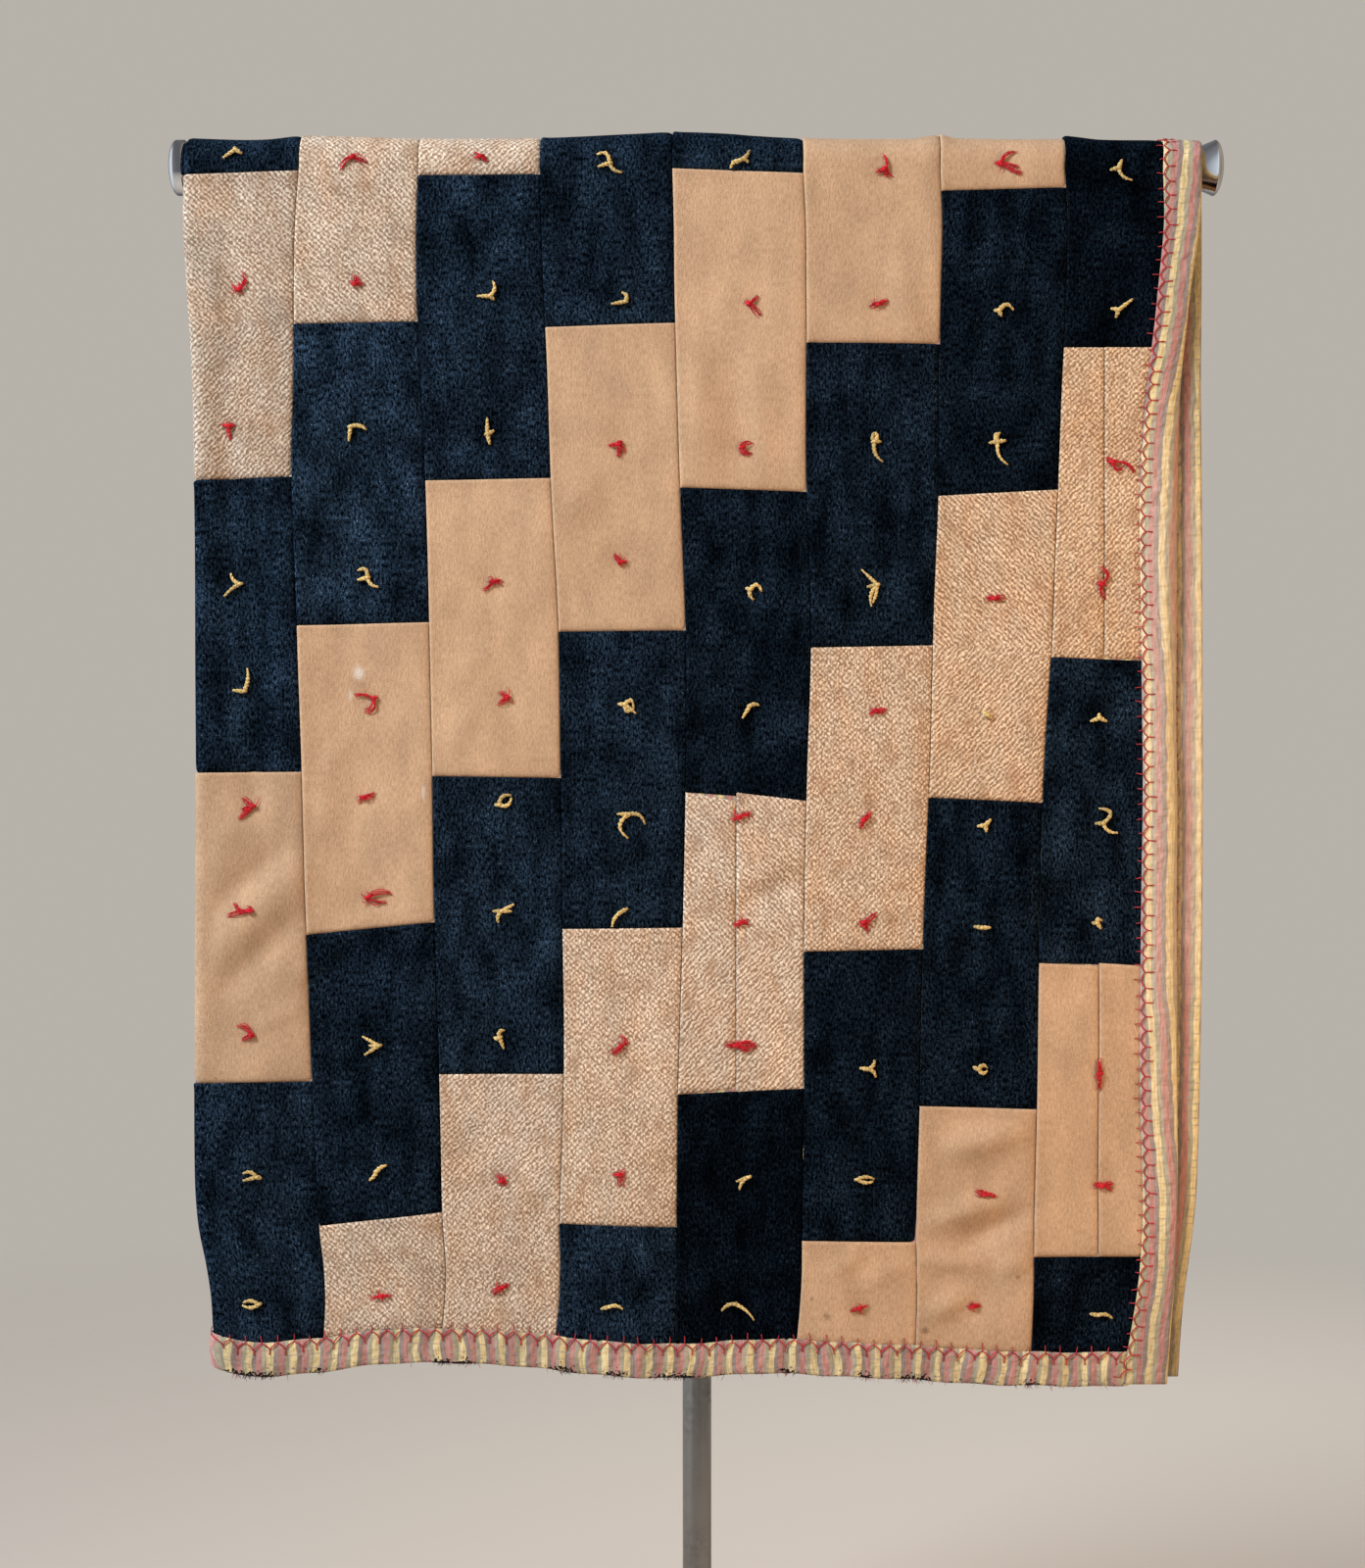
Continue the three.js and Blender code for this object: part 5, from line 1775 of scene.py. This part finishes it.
@dataclass
class LaidStrands:
    """Strands of yarn or thread on the cloth, gathered first and then placed together."""

    drape: Drape
    steps: int
    rows: list[list[Array]] = field(default_factory=list)
    tones: list[float] = field(default_factory=list)
    standing: list[bool] = field(default_factory=list)

    def lay(self, place: Sequence[Reals], radius: Reals, tone: float, standing: bool = False) -> None:
        """Lay one strand.

        Args:
            place: Its spans, its runs and its heights off the cloth's middle.
            radius: Radius along the strand.
            tone: Its shade, from -1 to 1.
            standing: Whether it loops off the cloth instead of lying on it.
        """
        self.rows.append([np.broadcast_to(values, self.steps) for values in (*place, radius)])
        self.tones.append(tone)
        self.standing.append(standing)

    def add_to(self, parts: MeshParts, sides: int) -> None:
        """Place all the strands on the cloth as tubes.

        Args:
            parts: Where they go.
            sides: Sides of the tubes.
        """
        *places, radius = np.array(self.rows).transpose(1, 0, 2)
        points, normals = self.drape.surface(*places)
        along = np.cross((1.0, 0.0, 0.0), normals)
        reference = np.where(np.array(self.standing)[:, None, None], along, normals)
        parts.add_tubes(points, reference, radius, np.array(self.tones), sides)


Placing = Callable[[Array, Array], tuple[Array, Array]]


class StitchForm(NamedTuple):
    """The pitch of a row of stitches, the depth of their arches and the reach of their stems."""

    pitch: float
    depth: float
    reach: float


@dataclass
class FeatherStitch:
    """The red stitch that holds the binding's inner edge: arches with stems, and spikes into the patches."""

    drape: Drape
    patchwork: Patchwork
    side_form: StitchForm = StitchForm(12.7, 5.4, 11.0)
    hem_form: StitchForm = StitchForm(HEM_STITCH, 6.8, 10.2)
    spike: float = 4.8
    spike_share: float = 0.72
    radius: float = 0.62
    thin_share: float = 0.75
    on_binding: float = 4.0
    on_patch: float = 3.2
    hem_lift: float = 0.75
    end_sink: float = 0.4
    arch_rise: float = 0.7
    past_hem: float = 24.0
    steps: int = 6
    roundness: float = 0.6
    jitter: float = 1.0
    swings: tuple[float, ...] = (0.9, 1.6, 1.7, 1.3)
    edge_gap: float = 0.4
    hem_overlap: float = 0.5
    tick_length: float = 3.0
    tick_lengths: Pair = (0.6, 1.4)
    tick_aside: Pair = (-0.8, 0.8)
    tick_lean: Pair = (-0.6, 0.6)
    tick_along: Pair = (-2.0, 2.0)
    tick_place: float = 21.5
    tick_out: float = -3.0
    tick_radius: float = 0.45
    tick_sides: int = 5
    tick_margin: float = 20.0
    seed: int = 11

    def strokes(self, count: int, form: StitchForm) -> tuple[Array, Array]:
        """Lay out a row of stitches beside a straight edge.

        Args:
            count: Number of stitches.
            form: Their form.

        Returns:
            Place along the edge and place onto the binding, for each stroke's points.
        """
        random = np.random.default_rng(self.seed + count)
        at = np.arange(count) * form.pitch + random.uniform(-self.jitter, self.jitter, count)
        between = (at + np.append(at[1:], at[-1] + form.pitch)) / 2
        before = np.append(at[0] - form.pitch / 2, between[:-1])
        means = (form.depth, form.reach, -self.spike, 0.0)
        fork, stem, spike, lean = (
            mean + random.uniform(-swing, swing, count) for mean, swing in zip(means, self.swings)
        )
        edge = np.full(count, self.edge_gap)
        share = np.linspace(0, 1, self.steps)
        bent = share + (np.sin(share * np.pi / 2) - share) * self.roundness
        slow = share + (1 - np.cos(share * np.pi / 2) - share) * self.roundness
        strokes = (
            (before, at, bent, edge, fork, slow),
            (between, at, bent, edge, fork, slow),
            (at, at + lean / 2, share, fork, stem, share),
            (between, between + lean, share, edge, spike, share),
        )
        along = [start[:, None] + (end - start)[:, None] * way for start, end, way, *_ in strokes]
        onto = [low[:, None] + (high - low)[:, None] * way for *_, low, high, way in strokes]
        return np.concatenate(along), np.concatenate(onto)

    def add_row(self, parts: MeshParts, length: float, form: StitchForm, place: Placing) -> None:
        """Add a row of stitches along an edge.

        Args:
            parts: Where the strands go.
            length: The edge's length.
            form: The stitches' form.
            place: Turns places along and onto the binding into span and run.
        """
        along, onto = self.strokes(int(length / form.pitch), form)
        arch = np.sin(np.linspace(0, np.pi, self.steps))
        span, run = place(along, onto)
        reach = HEM_WIDTH - EDGE_LIP - self.hem_overlap
        on_hem = run > self.drape.hem_run(span, False) - reach
        on_hem = on_hem | (run < self.drape.hem_run(span, True) + reach)
        on_cloth = np.where(onto > 0, self.on_binding, self.on_patch)
        out = np.where(on_hem, self.on_binding + self.hem_lift, on_cloth) - self.end_sink
        points, normals = self.drape.surface(span, run, out + self.arch_rise * arch)
        finer = np.where(onto.min(axis=1) < 0, self.spike_share, 1.0)[:, None]
        radius = self.radius * (self.thin_share + (1 - self.thin_share) * arch) * finer
        tone = np.random.default_rng(self.seed).uniform(-1, 1, len(points))
        parts.add_tubes(points, normals, radius, tone)

    def add_ticks(self, parts: MeshParts) -> None:
        """Add the small stitches that show on the backing along the inner layer's bound edge.

        Args:
            parts: Where the strands go.
        """
        random = np.random.default_rng(self.seed)
        strands = LaidStrands(self.drape, self.steps)
        edge = FOLD_WIDTH + LAYER_WIDTH - self.tick_place
        share = np.linspace(-0.5, 0.5, self.steps)
        for middle in np.arange(self.tick_margin, TYPICAL_DROP - self.tick_margin, self.side_form.pitch):
            length = self.tick_length * random.uniform(*self.tick_lengths)
            span = edge + random.uniform(*self.tick_aside) + length * share * random.uniform(*self.tick_lean)
            run = middle + random.uniform(*self.tick_along) + length * share
            strands.lay((span, run, self.tick_out), self.tick_radius, -1.0)
        strands.add_to(parts, self.tick_sides)

    def build(self) -> Piece:
        """Build the stitches along the bound sides and the hems."""
        parts = MeshParts()
        seam = self.patchwork.seams[-1]
        hem_start = float(seam(np.array(TYPICAL_DROP)))
        top = -ARC_LENGTH - TYPICAL_DROP
        length = 2 * TYPICAL_DROP + ARC_LENGTH

        def on_outer(along: Array, onto: Array) -> tuple[Array, Array]:
            """Place stitches beside the outer layer's binding."""
            return seam(top + along) - onto, top + along

        def on_inner(along: Array, onto: Array) -> tuple[Array, Array]:
            """Place stitches beside the inner layer's binding."""
            return INNER_BINDING_SPAN + onto, top + along

        def on_hem(on_back: bool, along: Array, onto: Array) -> tuple[Array, Array]:
            """Place stitches beside a hem's binding."""
            span = hem_start + HEM_STITCH / 2 + along
            onto = EDGE_LIP - HEM_WIDTH + onto
            return span, self.drape.hem_run(span, on_back) + (-onto if on_back else onto)

        self.add_row(parts, length + self.past_hem, self.side_form, on_outer)
        self.add_row(parts, length, self.side_form, on_inner)
        for on_back in (False, True):
            hem_length = INNER_BINDING_SPAN - hem_start - HEM_STITCH
            self.add_row(parts, hem_length, self.hem_form, partial(on_hem, on_back))
        self.add_ticks(parts)
        return parts.build("feather_stitch", STITCH_THREAD.material(), "red_yarn")


class Tie(NamedTuple):
    """A tie: its knot's place on the cloth, and its tails."""

    span: float
    run: float
    tails: Sequence[Tail]


@dataclass
class YarnTies:
    """The knotted yarn ties: smooth golden cords on navy, red tufts on the pale cloths."""

    drape: Drape
    patchwork: Patchwork
    steps: int = 8
    face: float = 2.9
    cord_radius: float = 1.2
    cord_offset: float = 0.9
    cord_twist: float = 6.0
    cord_sides: int = 6
    cord_taper: float = 0.45
    cord_taper_start: float = 0.4
    cord_rise: float = 1.1
    cord_flatness: float = 0.6
    cord_knot: float = 1.1
    tuft_radius: float = 0.5
    tuft_strands: int = 7
    tuft_fan: float = 1.1
    tuft_sides: int = 4
    tuft_lift: float = 0.2
    tuft_rise: Pair = (0.9, 2.6)
    tuft_arch: Pair = (0.35, 0.6)
    tuft_taper: float = 0.55
    tuft_root: Pair = (-0.8, 0.8)
    stubs: int = 10
    stub_reach: float = 2.6
    stub_bow: Pair = (-0.6, 0.6)
    knot_radius: float = 1.9
    knot_turn: Pair = (-0.25, 1.25)
    knot_lift: float = 0.3
    knot_squash: float = 0.7
    knot_slant: float = 0.5
    tuft_knots: int = 3
    tuft_knot_yarn: float = 1.15
    tuft_knot_spread: Pair = (-1.1, 1.1)
    back_margin: float = 45.0
    back_jitter: Pair = (-6.0, 6.0)
    back_bend: Pair = (1.6, 3.4)
    back_reaches: tuple[Pair, Pair] = ((8.0, 15.0), (6.0, 12.0))
    back_bow: Pair = (-3.0, 3.0)
    seed: int = 23

    def back_ties(self) -> tuple[list[Tie], list[Tie]]:
        """Lay out the golden and the red ties of the back half, two tails each, in rows like the front's."""
        random = np.random.default_rng(self.seed)
        gold, red = [], []
        run = -ARC_LENGTH - self.back_margin
        while run > -ARC_LENGTH - TYPICAL_DROP + self.back_margin:
            for column in range(COLUMNS):
                low, high = (float(self.patchwork.seam(n, np.array(run))) for n in (column + 1, column))
                span = (low + min(high, 0)) / 2 + random.uniform(*self.back_jitter)
                turn, bend = random.uniform(0, 2 * math.pi), random.uniform(*self.back_bend)
                reaches = [random.uniform(*reach) for reach in self.back_reaches]
                tails = [
                    (reach * math.cos(way), reach * math.sin(way), random.uniform(*self.back_bow))
                    for way, reach in zip((turn, turn + bend), reaches)
                ]
                navy = self.patchwork.fabric_at(column, run) is Fabric.NAVY
                (gold if navy else red).append(Tie(span, run + random.uniform(*self.back_jitter), tails))
            run -= BACK_TIE_PITCH
        return gold, red

    def tail_path(self, tail: Tail) -> Array:
        """Give a tail's bowed path from its knot, to the right and up.

        Args:
            tail: Its end to the right and up, and how far it bows aside.

        Returns:
            Points along it.
        """
        end = np.array(tail[:2], float)
        aside = np.array([-end[1], end[0]]) / max(math.hypot(*end), 1e-6)
        control = end / 2 + aside * 2 * tail[2]
        share = np.linspace(0, 1, self.steps)[:, None]
        return 2 * share * (1 - share) * control + share**2 * end

    def lay_knot(self, strands: LaidStrands, span: float, run: float, radius: float, tone: float) -> None:
        """Lay the knot: one turn of yarn standing on the cloth.

        Args:
            strands: Where the strand goes.
            span: Place across the cloth.
            run: Place along it.
            radius: The yarn's radius.
            tone: The yarn's shade.
        """
        turn = np.linspace(*np.multiply(self.knot_turn, np.pi), self.steps)
        out = self.face + self.knot_lift + (1 + np.sin(turn)) * self.knot_radius * self.knot_squash
        place = (span + np.cos(turn) * self.knot_radius, run + self.knot_slant * np.cos(turn), out)
        strands.lay(place, radius, tone, standing=True)

    def lay_cord(self, strands: LaidStrands, tie: Tie, random: np.random.Generator) -> None:
        """Lay a golden tie: each tail is two plies twisted round each other.

        Args:
            strands: Where the strands go.
            tie: The tie.
            random: Source of the small differences.
        """
        self.lay_knot(strands, tie.span, tie.run, self.cord_radius * self.cord_knot, random.uniform(-1, 1))
        share = np.linspace(0, 1, self.steps)
        taper = 1 - self.cord_taper * ease(share, self.cord_taper_start, 1.0)
        lift = self.face + self.cord_radius + np.sin((0.5 + share / 2) * np.pi) * self.cord_rise
        for tail in tie.tails:
            path = self.tail_path(tail)
            way = unit(np.gradient(path, axis=0))
            turns = 2 * np.pi * np.linalg.norm(path, axis=1) / self.cord_twist
            tone = random.uniform(-1, 1)
            for ply in (0.0, math.pi):
                offset = self.cord_offset * taper * np.cos(turns + ply)
                span = tie.span - path[:, 0] + way[:, 1] * offset
                run = tie.run - path[:, 1] - way[:, 0] * offset
                out = lift + self.cord_offset * np.sin(turns + ply) * self.cord_flatness
                strands.lay((span, run, out), self.cord_radius * taper, tone)

    def lay_tuft(self, strands: LaidStrands, tie: Tie, random: np.random.Generator) -> None:
        """Lay a red tie: each tail is a brush of loose strands, with short ends round the knot.

        Args:
            strands: Where the strands go.
            tie: The tie.
            random: Source of the small differences.
        """
        share = np.linspace(0, 1, self.steps)
        for _ in range(self.tuft_knots):
            aside, along = random.uniform(*self.tuft_knot_spread, 2)
            tone = random.uniform(-1, 1)
            self.lay_knot(strands, tie.span + aside, tie.run + along, self.tuft_knot_yarn, tone)
        tails = [tail for tail in tie.tails for _ in range(self.tuft_strands)]
        for _ in range(self.stubs):
            tails.append((*random.normal(0, self.stub_reach, 2), random.uniform(*self.stub_bow)))
        for tail in tails:
            path = self.tail_path(tuple(np.add(tail, random.normal(0, self.tuft_fan, 3))))
            start = random.uniform(*self.tuft_root, 2)
            arch = np.sin((self.tuft_arch[0] + self.tuft_arch[1] * share) * np.pi)
            out = self.face + self.tuft_lift + random.uniform(*self.tuft_rise) * arch
            span, run = tie.span + start[0] - path[:, 0], tie.run + start[1] - path[:, 1]
            radius = self.tuft_radius * (1 - self.tuft_taper * share**2)
            strands.lay((span, run, out), radius, random.uniform(-1, 1))

    def build(self) -> list[Piece]:
        """Build the golden and the red ties of both halves."""
        back_gold, back_red = self.back_ties()
        pieces = []
        for name, front, back, lay, yarn, sides in (
            ("ties_gold", GOLD_TIES, back_gold, self.lay_cord, GOLD_YARN, self.cord_sides),
            ("ties_red", RED_TIES, back_red, self.lay_tuft, RED_YARN, self.tuft_sides),
        ):
            random = np.random.default_rng(self.seed)
            strands = LaidStrands(self.drape, self.steps)
            for x, mark, *tails in front:
                run = mark + RUN_START
                lay(strands, Tie(float(self.drape.span_at(x, run)), run, tails), random)
            for tie in back:
                lay(strands, tie, random)
            parts = MeshParts()
            strands.add_to(parts, sides)
            pieces.append(parts.build(name, yarn.material(), yarn.name))
        return pieces


@dataclass
class HemFray:
    """Loose threads along the worn lower edge of the front hem."""

    drape: Drape
    steps: int = 5
    loose: int = 70
    loose_reach: Pair = (-410, 365)
    worn_per_mm: float = 1.1
    worn_spread: float = 0.7
    fewest: int = 3
    worn_tones: Pair = (-1.0, 0.1)
    loose_tones: Pair = (-0.35, 1.0)
    dark_tone: float = -0.3
    dark_length: Pair = (1.5, 4.5)
    pale_length: Pair = (2.0, 6.0)
    curl: Pair = (-3.0, 3.0)
    lean: Pair = (-1.0, 1.0)
    root: Pair = (-1.5, 3.2)
    rise: Pair = (-0.8, 1.4)
    below_edge: float = 1.0
    sunk_share: float = 0.25
    taper: float = 0.6
    radius: float = 0.28
    sides: int = 4
    seed: int = 31

    def build(self) -> Piece:
        """Build the threads: dark and red ones at the worn spots, and a few pale ones between."""
        random = np.random.default_rng(self.seed)
        worn = np.concatenate([
            random.normal(place, half * self.worn_spread, max(int(2 * half * self.worn_per_mm), self.fewest))
            for place, half in WORN_SPOTS
        ])
        x = np.concatenate([worn, random.uniform(*self.loose_reach, self.loose)])
        groups = ((self.worn_tones, len(worn)), (self.loose_tones, self.loose))
        tone = np.concatenate([random.uniform(*tones, number) for tones, number in groups])
        span = self.drape.span_at(x, np.full(x.shape, TYPICAL_DROP))
        dark, pale = (random.uniform(*reach, len(x)) for reach in (self.dark_length, self.pale_length))
        length = np.where(tone < self.dark_tone, dark, pale)[:, None]
        share = np.linspace(0, 1, self.steps)
        single = (len(x), 1)
        sway = random.uniform(*self.curl, single) * share**1.5 + random.uniform(*self.lean, single) * share
        run = self.drape.hem_run(span, False)[:, None] + self.below_edge + length * (share - self.sunk_share)
        out = random.uniform(*self.root, single) + random.uniform(*self.rise, single) * share
        points, normals = self.drape.surface(span[:, None] + sway, run, out)
        parts = MeshParts()
        parts.add_tubes(points, normals, self.radius * (1 - self.taper * share), tone, self.sides)
        return parts.build("hem_fray", FrayedThreads().material(), "striped_cotton")


Profile = list[tuple[float, float]]


class CapForm(NamedTuple):
    """A mushroom cap: its end of the bar, its slope's start and end, its rim's length and dome's height."""

    name: str
    way: int
    back: float
    slope_end: float
    band: float
    dome: float


@dataclass
class Stand:
    """The chrome T-stand, turned smooth in place of its faceted solids; sizes come from the frame."""

    sides: int = 96
    arc_steps: int = 12
    pin: float = 0.01
    sharp_angle: float = 35.0
    cap_bore: float = 16.3
    cap_neck: float = 18.4
    caps: tuple[CapForm, ...] = (
        CapForm("cap_left", -1, -0.3, 2.2, 7.4, 7.2),
        CapForm("cap_right", 1, -5.6, 6.6, 0.8, 7.8),
    )
    cap_fillet: float = 0.8
    cap_slope_drop: float = 0.3
    # The post's chrome is much darker than the rest: painted dark reflection of the room round it.
    post_shaded_bright: Colour = (0.27, 0.262, 0.25)
    post_shaded_dull: Colour = (0.17, 0.165, 0.16)
    collar_bevel: float = 4.0
    collar_wall: float = 9.0
    base_bevel: float = 3.0
    base_chamfer: float = 0.6
    cope_gap: float = 0.3

    @staticmethod
    def corners(name: str) -> tuple[Array, Array, float]:
        """Give the corners of a solid's box, in millimetres, and half its width."""
        low, high = (np.array(corner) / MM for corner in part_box(name))
        return low, high, (high[0] - low[0]) / 2

    def lathe(self, profile: Profile) -> Array:
        """Turn a profile of radius and height about the z axis.

        Args:
            profile: Points of radius and height.

        Returns:
            Rows of points round it.
        """
        turn = np.arange(self.sides) * 2 * np.pi / self.sides
        radius, height = np.array(profile, float).T[:, :, None]
        x, y = radius * np.cos(turn), radius * np.sin(turn)
        return np.stack([x, y, height + 0 * x], axis=-1)

    def tube(self, radius: float, low: float, high: float) -> Array:
        """Turn a plain closed tube between two heights."""
        return self.lathe([(self.pin, low), (radius, low), (radius, high), (self.pin, high)])

    @staticmethod
    def along_x(points: Array, way: int) -> Array:
        """Lay a turned form down along the x axis, its top towards that end."""
        return np.stack([points[..., 2] * way, points[..., 0] * way, points[..., 1]], axis=-1)

    def rounded(self, radius: float, top: float, size: float) -> Profile:
        """Give the rounded upper rim of a profile: its radius, its top and the rounding's size."""
        angles = np.radians(np.linspace(0, 90, self.arc_steps // 2))
        return [(radius - size + size * math.cos(a), top - size + size * math.sin(a)) for a in angles]

    def piece(self, name: str, points: Array, chrome: Material) -> Piece:
        """Build a turned piece in place of the solid of that name.

        Args:
            name: The solid's name.
            points: Rows of points round the form.
            chrome: The finish.

        Returns:
            The piece.
        """
        parts = MeshParts()
        parts.add_grid(points, points[..., :2], ring=True)
        made = parts.build("stand_" + name, chrome, "stand_chrome", name)
        made.data.set_sharp_from_angle(angle=math.radians(self.sharp_angle))
        return made

    def cap_points(self, form: CapForm, rim: float) -> Array:
        """Give a cap's points, laid along the bar.

        Args:
            form: The cap.
            rim: Radius of its rim.

        Returns:
            Rows of points round it.
        """
        bore, back = self.cap_bore, form.back
        profile = [(self.pin, 0.0), (bore, 0.0), (bore, back), (self.cap_neck, back)]
        profile.append((rim - self.cap_fillet, form.slope_end - self.cap_slope_drop))
        profile.append((rim, form.slope_end + self.cap_fillet))
        for angle in np.linspace(0, np.pi / 2, self.arc_steps):
            height = form.slope_end + form.band + form.dome * math.sin(angle)
            profile.append((max(rim * math.cos(angle), self.pin), height))
        return self.along_x(self.lathe(profile), form.way)

    def post_points(self, bar_radius: float, bar_height: float) -> Array:
        """Give the post's points: a plain tube, coped at the top to the underside of the bar.

        Args:
            bar_radius: The bar's radius.
            bar_height: The height of its axis.

        Returns:
            Rows of points round it.
        """
        low, _, radius = self.corners("post")
        points = self.tube(radius, low[2], bar_height)
        reach = bar_radius + self.cope_gap
        points[2:, :, 2] = bar_height - np.sqrt(reach**2 - points[2:, :, 1] ** 2)
        return points

    def collar_profile(self) -> Profile:
        """Give the collar's profile, with a rounded top, open round the post."""
        low, high, radius = self.corners("collar")
        rounded = self.rounded(radius, high[2], self.collar_bevel)
        bore = radius - self.collar_wall
        return [(bore, low[2]), (radius, low[2]), *rounded, (bore, high[2])]

    def base_profile(self) -> Profile:
        """Give the base plate's profile, with a rounded upper rim."""
        low, high, radius = self.corners("base")
        rounded = self.rounded(radius, high[2], self.base_bevel)
        chamfer = [(radius - self.base_chamfer, low[2]), (radius, low[2] + self.base_chamfer)]
        return [(self.pin, low[2]), *chamfer, *rounded, (self.pin, high[2])]

    def build(self) -> list[Piece]:
        """Build the bar, the caps, the post, the collar and the base."""
        chrome = StandChrome().material()
        # The post's chrome is painted darker, standing in for the dark reflections along it.
        post_chrome_painted_dark = StandChrome("post_chrome_painted_dark", self.post_shaded_bright, self.post_shaded_dull).material()
        low, high, half_length = self.corners("bar")
        bar_radius = (high[2] - low[2]) / 2
        axis = np.array([0, 0, (high[2] + low[2]) / 2])
        bar = self.tube(bar_radius, -half_length, half_length)
        made = [self.piece("bar", self.along_x(bar, 1) + axis, chrome)]
        for form in self.caps:
            low, high, _ = self.corners(form.name)
            start = np.array([high[0] if form.way < 0 else low[0], 0, 0])
            points = self.cap_points(form, (high[2] - low[2]) / 2)
            made.append(self.piece(form.name, points + axis + start, chrome))
        made.append(self.piece("post", self.post_points(bar_radius, axis[2]), post_chrome_painted_dark))
        made.append(self.piece("collar", self.lathe(self.collar_profile()), chrome))
        made.append(self.piece("base", self.lathe(self.base_profile()), chrome))
        return made


Place = tuple[float, float, float]


@dataclass(frozen=True)
class SoftLight:
    """A large soft studio light."""

    name: str
    place: Place
    aim: Place
    size: float
    power: float
    colour: Colour
    spread: float = 180.0

    def build(self) -> None:
        """Add the light, out of the camera's sight and of mirrors."""
        data = bpy.data.lights.new(self.name, "AREA")
        data.shape = "SQUARE"
        data.size = self.size
        data.energy = self.power
        data.color = self.colour
        data.spread = math.radians(self.spread)
        lamp = bpy.data.objects.new(self.name, data)
        lamp.location = self.place
        way = Vector(self.aim) - Vector(self.place)
        lamp.rotation_euler = way.to_track_quat("-Z", "Y").to_euler()
        lamp.visible_camera = False
        lamp.visible_glossy = False
        bpy.context.scene.collection.objects.link(lamp)


@dataclass
class Studio:
    """The pale floor, the soft light and the camera."""

    floor_radius: float = 3.4
    floor_sides: int = 96
    fade: Pair = (0.9, 3.2)
    floor_colour: Colour = (0.55, 0.50, 0.45)
    backdrop: Colour = (0.475, 0.445, 0.40)
    room: tuple[tuple[float, Colour], ...] = (
        (0.00, (0.80, 0.87, 0.95)), (0.13, (0.76, 0.82, 0.90)), (0.22, (0.26, 0.27, 0.29)),
        (0.36, (0.13, 0.13, 0.14)), (0.50, (0.20, 0.20, 0.21)), (0.61, (0.08, 0.08, 0.08)),
        (0.72, (0.26, 0.22, 0.19)), (0.86, (0.44, 0.37, 0.30)), (1.00, (0.28, 0.25, 0.22)),
    )
    camera_place: Place = (-0.01275, -2.127, 0.959)
    lens: float = 55.6
    sensor: float = 36.0
    lights: tuple[SoftLight, ...] = (
        SoftLight("key", (-2.6, -2.0, 3.6), (0, 0, 0.85), 1.16, 187, (0.96, 0.99, 1.03)),
        SoftLight("fill", (1.45, -1.1, 0.9), (0.3, 0, 0.8), 0.9, 6.2, (1.0, 0.54, 0.18), 120.0),
        SoftLight("rear", (1.4, 2.4, 2.2), (0, 0, 0.9), 1.6, 62, (1.0, 0.97, 0.93)),
    )

    def build(self) -> None:
        """Build the whole studio."""
        self.build_floor()
        self.build_world()
        for light in self.lights:
            light.build()
        self.build_camera()
        bpy.context.scene.view_settings.view_transform = "Standard"

    def build_floor(self) -> None:
        """Build a round floor that fades into the backdrop."""
        turn = np.arange(self.floor_sides) * 2 * np.pi / self.floor_sides
        points = [(self.floor_radius * math.cos(a), self.floor_radius * math.sin(a), 0.0) for a in turn]
        mesh = bpy.data.meshes.new("floor")
        mesh.from_pydata(points, [], [list(range(len(points)))])
        surface = Surface("pale_floor")
        alpha = surface.length(surface.spot).fit(*self.fade, 1.0, 0.0)
        mesh.materials.append(surface.dress(self.floor_colour, None, 0.0, Roughness=0.8, Alpha=alpha))
        floor = bpy.data.objects.new("floor", mesh)
        bpy.context.scene.collection.objects.link(floor)
        floor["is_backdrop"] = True

    def build_world(self) -> None:
        """Light the room, brighter at its left and warm at its right, and show a plain pale backdrop."""
        world = bpy.data.worlds.new("studio")
        world.use_nodes = True
        graph = Graph(world.node_tree)
        graph.tree.nodes.clear()
        side = graph.split(graph.value("TexCoord", output="Generated"))[0]
        walls = graph.ramp(side.fit(-1.0, 1.0), self.room)
        seen, light = (graph.value("Background", {0: colour, 1: 1.0}) for colour in (self.backdrop, walls))
        path = graph.value("LightPath", output="Is Camera Ray")
        graph.node("OutputWorld", {0: graph.value("MixShader", {0: path, 1: light, 2: seen})})
        bpy.context.scene.world = world

    def build_camera(self) -> None:
        """Set up the level camera in front of the quilt."""
        data = bpy.data.cameras.new("camera")
        data.lens = self.lens
        data.sensor_width = self.sensor
        camera = bpy.data.objects.new("camera", data)
        camera.location = self.camera_place
        camera.rotation_euler = (math.pi / 2, 0, 0)
        bpy.context.scene.collection.objects.link(camera)
        bpy.context.scene.camera = camera


def write_sizes() -> None:
    """Gather the box of the solids and the box of the dressed part, in metres; nothing is written."""
    boxes = {"cad": CAD_BOX, "visual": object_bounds()}
    {name: [list(corner) for corner in box] for name, box in boxes.items()}


def main() -> None:
    """Build the quilt, the stand and the studio, and report each piece."""
    logging.basicConfig(level=logging.INFO, format="%(name)s: %(message)s")
    drape = Drape()
    cotton = StripedCotton().material()
    body = QuiltBody(drape).build(cotton)
    patchwork = Patchwork(drape)
    pieces = patchwork.build()
    binding = Binding(drape, patchwork, cotton)
    pieces += [binding.side(on_inner) for on_inner in (False, True)]
    pieces += [binding.hem(on_back) for on_back in (False, True)]
    pieces.append(FeatherStitch(drape, patchwork).build())
    pieces += YarnTies(drape, patchwork).build()
    pieces.append(HemFray(drape).build())
    stand = Stand().build()
    for piece in (body, *pieces, *stand):
        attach(piece, "root")
        LOG.info("%s: %d faces", piece.name, len(piece.data.polygons))
    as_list(pieces)
    Studio().build()
    write_sizes()


if __name__ == "__main__":
    main()
